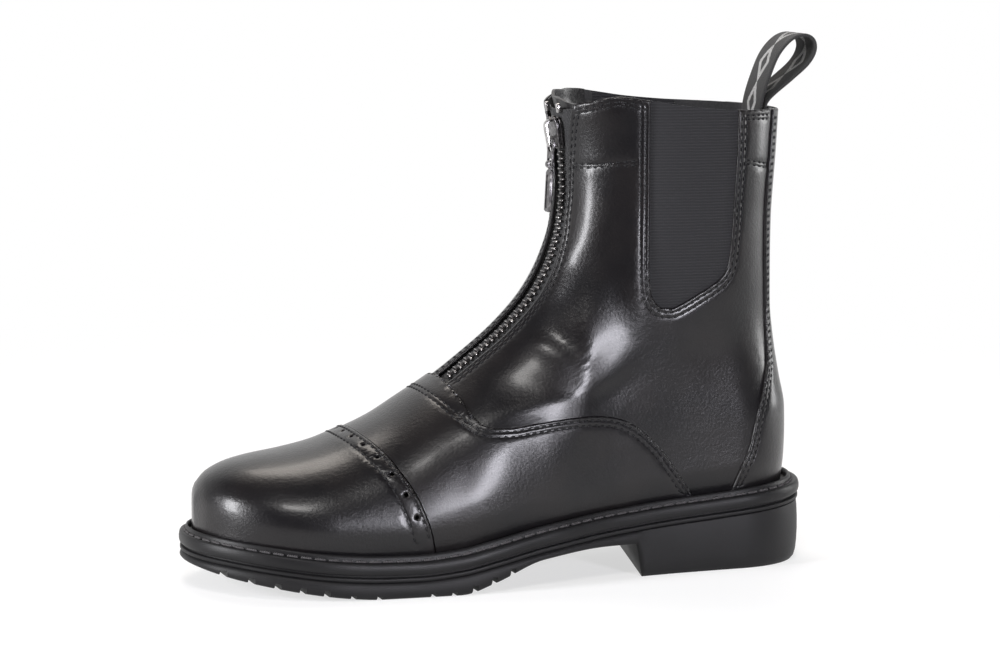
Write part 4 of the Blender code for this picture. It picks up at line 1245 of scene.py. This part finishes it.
def strip_piece(name, heights, half, top, bottom, finish, far=0.0, rise=None, **place):
    """Strip behind the zip's opening between two heights of the last."""
    rows, columns = STRIP_ROWS, STRIP_COLUMNS
    up = np.linspace(heights[0], heights[1], rows)[:, None] + np.zeros(columns)
    shares = np.linspace(-1, 1, columns) + np.zeros((rows, 1))
    z = skin(0.0, up)[..., 2]
    reach = half * shares + far * ramp(z, 140, 195) * ramp(shares, 0, 1)
    target = smooth(z, SLOT, 1) + reach
    reach_over = np.full(up.shape, 1.4)
    turn = meet(lambda turn: skin(turn, up)[..., 1] - target, -reach_over, reach_over)
    line = np.stack([turn, up], -1).reshape(-1, 2)
    outer, inner = raised(line, np.full(len(line), top)), raised(line, np.full(len(line), bottom))
    if rise:
        y = outer[:, 1]
        lift = rise[0] + (rise[1] - rise[0]) * ramp(y, -4, 18)
        lift *= (1 - ramp(y, 14, 29)) * ramp(y, -17, -5) * ramp(up.ravel(), heights[1] - 0.06, heights[1])
        outer[:, 2] += lift
        inner[:, 2] += lift
    index = np.arange(rows * columns).reshape(rows, columns)
    quads = np.stack([index[:-1, :-1], index[1:, :-1], index[1:, 1:], index[:-1, 1:]], -1).reshape(-1, 4)
    count = len(line)
    ring = np.concatenate([index[0, :-1], index[:-1, -1], index[-1, :0:-1], index[:0:-1, 0]])
    faces = quads.tolist() + (quads[:, ::-1] + count).tolist()
    faces += [(b, a, a + count, b + count) for a, b in zip(ring, np.roll(ring, -1))]
    obj = make_piece(name, np.concatenate([outer, inner]), faces, [finish], **place)
    strip = np.column_stack([((up - heights[0]) * MAP_HEIGHT).ravel(), reach.ravel()])
    store_strip(obj, np.concatenate([strip, strip]))
    return obj


def ridge_up(z):
    """Map height of the ridge's point at a height."""
    return float(meet(lambda up: skin(0.0, up)[..., 2] - z, 0.0, 1.0))


strip_piece("zip_tape_strip", (ridge_up(82), 0.992), 14.0, -2.5, -3.25, zip_tape_cloth,
            slot="zip_textile", node="zip_tape")
strip_piece("zip_guard_leather", (ridge_up(87), 1.0), 19.6, -3.7, -5.0, guard_leather, far=14.0,
            rise=(2.2, 4.4), slot="guard_leather", node="zip_guard")

# %% [markdown]
# Each tooth is a small block with rounded sides that grips the tape at one end and reaches just past
# the middle at the other. Teeth from the two sides alternate, half a pitch apart.

# %% Teeth
TOOTH_PITCH = 2.95
TOOTH_DEPTH = 1.7
TOOTH = [(2.9, 0.45, 0.75), (2.6, 0.6, 1.0), (1.4, 0.6, 1.05), (0.4, 0.54, 1.1), (-0.3, 0.6, 1.1),
         (-0.7, 0.4, 0.8)]


def zip_frames(low, high, pitch):
    """Points with outward, upward and sideways directions along the zip at a fixed pitch."""
    up = np.linspace(ridge_up(low), ridge_up(high), 400)

    def test(turn):
        point = skin(turn, up)
        return point[:, 1] - smooth(point[:, 2], SLOT, 1)

    turn = meet(test, np.full(400, -1.2), np.full(400, 1.2))
    line = resample(np.column_stack([turn, up]), pitch)
    point, normal, _, _ = lie(line[:, 0], line[:, 1])
    upward = np.gradient(point, axis=0)
    upward /= np.linalg.norm(upward, axis=1, keepdims=True)
    return point, normal, upward, np.cross(normal, upward)


def make_teeth():
    middle, out, upward, sideways = zip_frames(86.2, 180.5, TOOTH_PITCH / 2)
    angle = np.radians(np.arange(22.5, 382, 45))
    points, faces = [], []
    for i in range(len(middle)):
        side = 1 if i % 2 else -1
        start = len(points) * 8
        for across, length, height in TOOTH:
            centre = middle[i] + sideways[i] * side * across - out[i] * TOOTH_DEPTH
            points.append([centre + upward[i] * length * 1.05 * math.cos(a) + out[i] * height * math.sin(a)
                           for a in angle])
        for j in range(len(TOOTH) - 1):
            faces += band(start + 8 * j, start + 8 * j + 8, 8)
        last = start + 8 * (len(TOOTH) - 1)
        faces += [tuple(range(start + 7, start - 1, -1)), tuple(range(last, last + 8))]
    make_piece("zip_teeth_row", np.concatenate(points), faces, [tooth_metal], slot="zip_metal",
               node="zip_teeth", sharp=50)


make_teeth()

# %% [markdown]
# ## Slider, link and tab
# The slider is cast: a shield-shaped body with a bridge over it. The link is a flat eye that hangs on
# the bridge, and the tab hangs on the link's bar. They are flat castings, so each is cut from its
# outline, given its thickness and then rounded with a bevel along its edges.

# %% Flat castings
def casting(name, outline, holes, back, front, about, lean, finish, bevel=0.25, **place):
    """Flat part facing the toe, from a front-view outline round a point."""
    flat = np.concatenate([outline, *holes]).astype(float)
    fences = fences_of([outline, *holes])
    found = delaunay_2d_cdt([Vector(p) for p in flat], fences, [], 0, 1e-6, False)
    spots = np.array([tuple(v) for v in found[0]])
    triangles = np.array([face for face in found[2]])
    middle = spots[triangles].mean(1)
    keep = inside(middle, np.asarray(outline, float))
    for hole in holes:
        keep &= ~inside(middle, np.asarray(hole, float))
    triangles = triangles[keep]
    turn = np.array([[math.cos(lean), 0, math.sin(lean)], [0, 1, 0], [-math.sin(lean), 0, math.cos(lean)]])
    levels = []
    for out in (front, back):
        local = np.column_stack([np.full(len(spots), -out), spots[:, 0], spots[:, 1]])
        levels.append(local @ turn.T + np.asarray(about))
    faces, _ = shell(triangles, len(spots))
    obj = make_piece(name, np.concatenate(levels), faces, [finish], slot="zip_metal", sharp=35, **place)
    if bevel:
        round_edges(obj, bevel)
    return obj


def round_edges(obj, width):
    """Round the sharp edges of a mesh for good."""
    shape = bmesh.new()
    shape.from_mesh(obj.data)
    bmesh.ops.recalc_face_normals(shape, faces=shape.faces)
    flats = [e for e in shape.edges if len(e.link_faces) == 2 and e.calc_face_angle(0) < 0.02]
    bmesh.ops.dissolve_edges(shape, edges=flats, use_verts=False)
    sharp = [e for e in shape.edges if len(e.link_faces) == 2 and e.calc_face_angle(0) > 1.0]
    bmesh.ops.bevel(shape, geom=sharp, offset=width / 1000, segments=3, profile=0.6, affect="EDGES",
                    clamp_overlap=True)
    shape.to_mesh(obj.data)
    shape.free()
    obj.data.shade_smooth()
    obj.data.set_sharp_from_angle(angle=math.radians(50))


def arc(y, z, radius, start, end, count):
    angle = np.radians(np.linspace(start, end, count))
    return [(y + radius * math.cos(a), z + radius * math.sin(a)) for a in angle]


def mirrored(right):
    return right + [(-y, z) for y, z in reversed(right)]


print("castings are cut from their front view")


# %% Slider
SLIDER_Z = 187.0
HANG_LEAN = math.radians(2.6)
LINK_OUT, LINK_UP, LINK_LENGTH = 1.8, -1.5, 11.6


def lean_at(z, step=5.0):
    low, high = column_at_height(RIDGE, z - step), column_at_height(RIDGE, z + step)
    return math.atan2(float(high - low), 2 * step)


slider_spot = (float(column_at_height(RIDGE, SLIDER_Z)), 0.0, SLIDER_Z)
slider_lean = lean_at(SLIDER_Z)
shield = mirrored([(1.0, 6.0), (2.2, 7.0), (3.4, 7.0), (4.6, 6.2), (5.3, 4.9), (5.45, 3.3), (5.1, 1.2),
                   (4.5, -1.4), (3.9, -4.2), (3.5, -6.6)])
casting("slider_back", shield, [], -1.9, -1.1, slider_spot, slider_lean, gunmetal, 0.2,
        node="zip_slider")
casting("slider_front", shield, [], -0.25, 0.65, slider_spot, slider_lean, gunmetal, 0.3)
for side, name in ((-1, "outer"), (1, "inner")):
    cheek = [(side * y, z) for y, z in [(3.0, 5.4), (4.6, 5.6), (5.2, 3.4), (4.4, -1.2), (3.6, -5.8),
                                        (2.9, -5.8), (3.1, -1.0)]]
    casting(f"slider_cheek_{name}", cheek if side > 0 else cheek[::-1], [], -1.4, 0.2, slider_spot,
            slider_lean, gunmetal, 0.15)


def make_bridge():
    """Strap that arches over the slider and carries the link."""
    arch = np.array([(0.5, 5.6), (1.6, 5.7), (2.9, 5.0), (3.6, 3.6), (3.65, 1.0), (3.65, -2.0),
                     (3.55, -4.2), (2.8, -5.3), (1.5, -5.6), (0.5, -5.4)])
    share = np.linspace(0, 1, 33)
    out, rise = along(arch, share)
    path = np.column_stack([out, rise])
    step = np.gradient(path, axis=0)
    step /= np.linalg.norm(step, axis=1, keepdims=True)
    normal = np.column_stack([-step[:, 1], step[:, 0]])
    half = 1.4 - 0.35 * ramp(np.abs(share - 0.5), 0.3, 0.5)
    section = [(-1, -0.28), (-0.82, -0.5), (0.82, -0.5), (1, -0.28), (1, 0.28), (0.82, 0.5), (-0.82, 0.5),
               (-1, 0.28)]
    turn = np.array([[math.cos(slider_lean), 0, math.sin(slider_lean)], [0, 1, 0],
                     [-math.sin(slider_lean), 0, math.cos(slider_lean)]])
    points = []
    for i in range(len(path)):
        for across, deep in section:
            out_i, up_i = path[i] + normal[i] * deep * 1.1
            points.append(np.array([-out_i, across * half[i], up_i]) @ turn.T + slider_spot)
    faces = []
    for i in range(len(path) - 1):
        faces += band(8 * i, 8 * i + 8, 8)
    last = 8 * (len(path) - 1)
    faces += [tuple(range(7, -1, -1)), tuple(range(last, last + 8))]
    make_piece("slider_bridge", points, faces, [bright_metal], slot="zip_metal", sharp=35)


make_bridge()

# %% Link and tab
pivot = (slider_spot[0] - LINK_OUT * math.cos(slider_lean) + LINK_UP * math.sin(slider_lean), 0.0,
         SLIDER_Z + LINK_OUT * math.sin(slider_lean) + LINK_UP * math.cos(slider_lean))
tab_pivot = (pivot[0] - LINK_LENGTH * math.sin(HANG_LEAN), 0.0, pivot[2] - LINK_LENGTH * math.cos(HANG_LEAN))
eye_outline = arc(0, -3.4, 4.0, -38, 218, 33) + [(-2.95, -8.6), (-2.9, -11.6), (-2.5, -12.2), (2.5, -12.2),
                                                  (2.9, -11.6), (2.95, -8.6)]
eye_hole = arc(0, -3.4, 2.8, 0, 345, 24)
bar_slot = [(-1.9, -11.0), (1.9, -11.0), (1.9, -9.5), (1.5, -9.1), (-1.5, -9.1), (-1.9, -9.5)]
casting("pull_link_eye", eye_outline, [eye_hole, bar_slot], -0.5, 0.5, pivot, HANG_LEAN, gunmetal, 0.22,
        body="pull_link", node="zip_pull_link")
tab_outline = mirrored([(1.5, -1.4), (1.6, -2.3), (2.6, -2.5), (3.1, -3.0), (3.1, -19.8), (2.7, -20.3),
                        (2.2, -20.4)])
casting("pull_tab_plate", tab_outline, [], -0.55, 0.25, tab_pivot, HANG_LEAN, gunmetal, 0.2,
        body="pull_tab", node="zip_pull_tab")
frame_outline = mirrored([(2.5, -3.2), (2.85, -3.5), (2.85, -19.6), (2.5, -19.95)])
frame_window = mirrored([(1.7, -4.6), (2.0, -4.9), (2.0, -18.4), (1.7, -18.7)])
casting("pull_tab_frame", frame_outline, [frame_window], 0.2, 0.6, tab_pivot, HANG_LEAN, gunmetal, 0.12,
        body="pull_tab")


def make_curl():
    """Tube that curls round the link's bar at the top of the tab."""
    angle = np.radians(np.arange(0, 360, 18))
    points, faces = [], []
    stations = [(-1.5, 1.05), (-1.5, 1.6), (-1.35, 1.75), (1.35, 1.75), (1.5, 1.6), (1.5, 1.05)]
    for y, radius in stations:
        points += [(tab_pivot[0] + radius * math.cos(a), y, tab_pivot[2] + radius * math.sin(a))
                   for a in angle]
    for j in range(len(stations)):
        faces += band(20 * j, 20 * ((j + 1) % len(stations)), 20)
    make_piece("pull_tab_curl", points, faces, [gunmetal], body="pull_tab", slot="zip_metal", sharp=50)


make_curl()

# %% [markdown]
# Two small clamps sit on the tape above the slider, one on each side.

# %% Top stops
STOP_Z, STOP_Y = 197.6, 6.6


def make_stops():
    for side, name in ((-1, "outer"), (1, "inner")):
        spot = (float(column_at_height(RIDGE, STOP_Z)), side * STOP_Y, STOP_Z)
        outline = mirrored([(0.7, 2.0), (1.1, 1.6), (1.1, -1.6), (0.7, -2.0)])
        casting(f"top_stop_{name}", outline, [], -2.6, -0.9, spot, lean_at(190.0), bright_metal, 0.3)


make_stops()

# %% [markdown]
# ## The pull loop
# A loop of webbing is sewn inside the back of the collar and stands up to be grasped. It is one long
# strip swept along its side-view path, thinner at its selvedges. Light thread weaves a row of
# diamonds down its middle.

# %% Pull loop
LOOP_PATH = [(115.5, 181), (115.4, 192), (116.3, 200.5), (119.2, 210), (123.5, 219.8), (129.5, 226.3),
             (135.5, 228.3), (140.0, 226.4), (140.9, 221.6), (137.6, 215.8), (130.0, 209.3),
             (122.6, 203.6), (119.0, 200.2), (117.6, 197), (117.4, 190), (117.4, 181)]


def rounded_path(path, count):
    """Smooth curve through points, by a spline that passes through each."""
    p = np.asarray(path, float)
    p = np.concatenate([[2 * p[0] - p[1]], p, [2 * p[-1] - p[-2]]])
    spots = np.linspace(0, len(path) - 1 - 1e-6, count)
    i = spots.astype(int)
    t = (spots - i)[:, None]
    a, b, c, d = p[i], p[i + 1], p[i + 2], p[i + 3]
    return 0.5 * (2 * b + (c - a) * t + (2 * a - 5 * b + 4 * c - d) * t ** 2
                  + (3 * b - a - 3 * c + d) * t ** 3)


def make_loop():
    count = 161
    path = rounded_path(LOOP_PATH, count)
    step = np.gradient(path, axis=0)
    step /= np.linalg.norm(step, axis=1, keepdims=True)
    normal = np.column_stack([-step[:, 1], step[:, 0]])
    run = np.r_[0, np.cumsum(np.linalg.norm(np.diff(path, axis=0), axis=1))]
    across = np.array([-10, -9.7, -9, -7.5, -5, -2.5, 0, 2.5, 5, 7.5, 9, 9.7, 10])
    thick = 0.7 * np.array([0.3, 0.75, 1, 0.92, 1, 1, 1, 1, 1, 0.92, 1, 0.75, 0.3])
    ring_y = np.r_[across, across[::-1]]
    ring_out = np.r_[thick, -thick[::-1]]
    size = len(ring_y)
    points, strip = [], []
    for i in range(count):
        offset = path[i][None, :] + normal[i][None, :] * ring_out[:, None]
        points.append(np.column_stack([offset[:, 0], ring_y, offset[:, 1]]))
        strip.append(np.column_stack([np.full(size, run[i]), ring_y]))
    faces = []
    for i in range(count - 1):
        faces += band(size * i, size * i + size, size)
    last = size * (count - 1)
    faces += [tuple(range(size - 1, -1, -1)), tuple(range(last, last + size))]
    obj = make_piece("webbing_loop", np.concatenate(points), faces, [loop_webbing], slot="loop_webbing",
                     node="pull_loop", sharp=60)
    store_strip(obj, np.concatenate(strip))


make_loop()

# %% [markdown]
# ## The sole
# Welt and outsole are closed rows of points round the outline, stacked from the bead at the leather
# down to the tread. The rows hold the mouldings: the bead with its stitched groove, the rounded edge
# of the welt, the groove below it, the thin rib and the wall that bulges a little.

# %% Rows round the sole
STATIONS = 171


def outline_half(x, side, inset=0.0):
    half = smooth(x, PLAN, 1 if side < 0 else 2) - inset
    return half * swell((x - TOE_X - inset) / 58.0) * swell((HEEL_X - inset - x) / 37.0)


def sole_marks():
    """Shares of the sole's length at which its sections are cut, close together at the ends."""
    even = (1 - np.cos(np.linspace(0, math.pi, STATIONS))) / 2
    fixed = [(x - TOE_X) / (HEEL_X - TOE_X) for x in (50, 53, -70, -34)]
    kept = [share for share in even if min(abs(share - mark) for mark in fixed) > 0.003]
    return np.array(sorted(kept + fixed))


MARKS = sole_marks()


def set_back(x):
    """Place on the inner side that is paired with x on the outer side: the breast slants."""
    return x + BREAST_SLANT * ramp(x, 0, 50) * (1 - ramp(x, 53, HEEL_X))


def both_sides(outer, inner):
    """Closed row from the outer and inner half, paired at each station."""
    return np.concatenate([np.column_stack(outer), np.column_stack(inner)[-2:0:-1]])


def outline_loop(inset):
    x = TOE_X + inset + MARKS * (HEEL_X - TOE_X - 2 * inset)
    x_inner = set_back(x)
    return both_sides((x, -outline_half(x, -1, inset)), (x_inner, outline_half(x_inner, 1, inset)))


def feather_loop():
    """Row where the leather meets the welt."""
    x = RIDGE[0][0] + MARKS * (BACK[0][0] - RIDGE[0][0])
    sides = []
    for side, at in ((-1, x), (1, set_back(x))):
        z = welt_top(at) + GAP
        z[0], z[-1] = RIDGE[0][1], BACK[0][1]
        sides.append((at, side * half_width(at, z, side)))
    return both_sides(*sides)


def paired_cap(start, count):
    """Faces straight across a closed row whose two sides are paired."""
    stations = len(MARKS)
    other = [0] + [count - i for i in range(1, stations - 1)] + [stations - 1]
    return [tuple(dict.fromkeys([start + i, start + i + 1, start + other[i + 1], start + other[i]]))
            for i in range(stations - 1)]


print("a row round the sole has", len(outline_loop(0)), "points")

# %% Welt: share of the way from sole edge to leather, height over the welt's top
WELT_ROWS = [(1.45, -5.2), (0.10, -5.2), (0.03, -4.95), (0, -4.4), (-0.02, -3.6), (-0.02, -2.4), (0, -1.5),
             (0.03, -0.7), (0.08, -0.15), (0.13, 0.02), (0.27, 0.0), (0.305, -0.1), (0.33, -0.6),
             (0.345, -0.7), (0.36, -0.6), (0.375, 0.0), (0.39, 0.9), (0.415, 1.7), (0.45, 2.25),
             (0.49, 2.42), (0.53, 2.35), (0.57, 2.0), (0.6, 1.0), (0.62, -0.3), (1.45, -0.3)]


def welt_row(share, lift):
    edge, feather = outline_loop(0), feather_loop()
    row = edge + (feather - edge) * share
    return np.column_stack([row, welt_top(row[:, 0]) + lift])


def make_welt():
    rows = [welt_row(share, lift) for share, lift in WELT_ROWS]
    count = len(rows[0])
    faces = []
    for i in range(len(rows)):
        faces += band(i * count, (i + 1) % len(rows) * count, count)
    faces = [face[::-1] for face in faces]
    make_piece("welt_strip", np.concatenate(rows), faces, [welt_rubber], slot="sole_rubber", node="welt")


STITCH_SHARE, STITCH_LIFT = 0.36, 0.12


def welt_stitches(pitch=5.7, length=4.6, radius=0.66):
    """Twisted stitches that lie in the welt's groove."""
    groove = welt_row(STITCH_SHARE, STITCH_LIFT)
    loop_line = np.concatenate([groove, groove[:1]])
    run = np.r_[0, np.cumsum(np.linalg.norm(np.diff(loop_line, axis=0), axis=1))]
    count = int(run[-1] / pitch)
    along_stitch = np.linspace(-0.5, 0.5, 23)
    angle = np.radians(np.arange(0, 360, 45))
    marks = (np.arange(count)[:, None] + 0.5) * run[-1] / count + along_stitch * length
    point = np.stack([np.interp(marks, run, loop_line[:, k]) for k in range(3)], -1)
    tangent = np.gradient(point, axis=1)
    tangent /= np.linalg.norm(tangent, axis=-1, keepdims=True)
    aside = np.cross(tangent, [0, 0, 1.0])
    above = np.cross(aside, tangent)
    twist = 1 + 0.2 * np.sin(along_stitch[:, None] * length * 2 * math.pi / 0.9 + angle)
    size = radius * np.sqrt(1 - 0.9 * (2 * along_stitch[:, None]) ** 6) * twist
    ring = (aside[:, :, None] * (np.cos(angle) * size)[None, :, :, None]
            + above[:, :, None] * (np.sin(angle) * size)[None, :, :, None])
    points = (point[:, :, None] + ring).reshape(-1, 3)
    faces, size = [], len(along_stitch) * 8
    for i in range(count):
        for j in range(len(along_stitch) - 1):
            faces += band(i * size + 8 * j, i * size + 8 * j + 8, 8)
        last = (i + 1) * size - 8
        faces += [tuple(range(i * size + 7, i * size - 1, -1)), tuple(range(last, last + 8))]
    make_piece("welt_stitches", points, faces, [welt_thread], slot="sole_rubber", sharp=80)


def make_insole():
    rows = [welt_row(1.5, -0.4), welt_row(1.5, -5.2)]
    count = len(rows[0])
    faces = [f[::-1] for f in paired_cap(0, count)] + paired_cap(count, count) + band(0, count, count)
    make_piece("insole_cover", np.concatenate(rows), faces, [lining_textile], slot="lining_textile",
               node="insole")


make_welt()
welt_stitches()
make_insole()

# %% Outsole: inset and height under the welt's top, then inset and share of the way to the tread
WALL_ROWS = [(1.6, 5.4), (1.6, 6.1), (1.2, 6.3), (0.5, 6.45), (0.3, 6.7), (0.3, 7.7), (0.5, 7.95),
             (1.2, 8.1), (1.45, 8.3), (1.2, 8.55), (0.9, 8.8)]
LOW_ROWS = [(0.55, 0.12), (0.3, 0.3), (0.2, 0.5), (0.35, 0.7), (0.7, 0.86), (1.3, 0.95), (2.2, 1.0)]
GROOVES = [-129, -119.5, -110, -100.5, -91, -28, -19.5, -11]
NOTCHES = [-80, -69, -46, -37]
HEEL_POCKETS = [(73, 84), (90, 101), (107, 118)]
CUT_HALF, CUT_REACH, POCKET_REACH = 1.5, 80, (-21, 21)
GROOVE_CUT, NOTCH_CUT, NOTCH_LENGTH = 3.0, 1.8, 12


def tread_cutter(x, half, reach, depth):
    """Points and faces of a groove with sloping walls, cut up into the tread."""
    low = float(smooth(x, RISE, 2)) - 6
    roof = low + 6 + depth
    profile = [(x - half - 0.4, low), (x + half + 0.4, low), (x + half - 0.4, roof), (x - half + 0.4, roof)]
    points = [(px, y, pz) for y in reach for px, pz in profile]
    return points, [(0, 1, 2, 3), (7, 6, 5, 4)] + band(0, 4, 4)


def apply_cut(obj, cutters):
    """Take all cutters out of a mesh for good."""
    for points, faces in cutters:
        mesh = bpy.data.meshes.new("cutter")
        mesh.from_pydata(((np.asarray(points) - CENTRE) / 1000).tolist(), [], faces)
        shape = bmesh.new()
        shape.from_mesh(mesh)
        bmesh.ops.recalc_face_normals(shape, faces=shape.faces)
        shape.to_mesh(mesh)
        shape.free()
        tool = bpy.data.objects.new("cutter", mesh)
        bpy.context.scene.collection.objects.link(tool)
        cut = obj.modifiers.new("cut", "BOOLEAN")
        cut.operation, cut.solver, cut.object = "DIFFERENCE", "EXACT", tool
        bpy.context.view_layer.update()
        result = bpy.data.meshes.new_from_object(obj.evaluated_get(bpy.context.evaluated_depsgraph_get()))
        obj.modifiers.clear()
        bpy.data.objects.remove(tool)
        obj.data = result


def make_outsole():
    nominal = TOE_X + MARKS * (HEEL_X - TOE_X)
    tread = smooth(np.concatenate([nominal, nominal[-2:0:-1]]), RISE, 2)
    rows = []
    for inset, drop in WALL_ROWS:
        row = outline_loop(inset)
        rows.append(np.column_stack([row, welt_top(row[:, 0]) - drop]))
    last = rows[-1][:, 2]
    for inset, share in LOW_ROWS:
        rows.append(np.column_stack([outline_loop(inset), last + (tread - last) * share]))
    count = len(rows[0])
    faces = paired_cap(0, count)
    faces += [face[::-1] for face in paired_cap((len(rows) - 1) * count, count)]
    for i in range(len(rows) - 1):
        faces += [face[::-1] for face in band(i * count, (i + 1) * count, count)]
    outsole = make_piece("outsole_rubber", np.concatenate(rows), faces, [sole_rubber], slot="sole_rubber",
                         node="outsole")
    cutters = [tread_cutter(x, CUT_HALF, (-CUT_REACH, CUT_REACH), GROOVE_CUT) for x in GROOVES]
    for x in NOTCHES:
        for side in (-1, 1):
            edge = float(outline_half(x, side)) * side
            reach = sorted((edge - side * NOTCH_LENGTH, side * CUT_REACH))
            cutters.append(tread_cutter(x, CUT_HALF, reach, NOTCH_CUT))
    for low, high in HEEL_POCKETS:
        cutters.append(tread_cutter((low + high) / 2, (high - low) / 2, POCKET_REACH, GROOVE_CUT))
    apply_cut(outsole, cutters)
    outsole.data.shade_smooth()
    outsole.data.set_sharp_from_angle(angle=math.radians(40))
    print("tread has", len(cutters), "cuts and", len(outsole.data.polygons), "faces")


make_outsole()
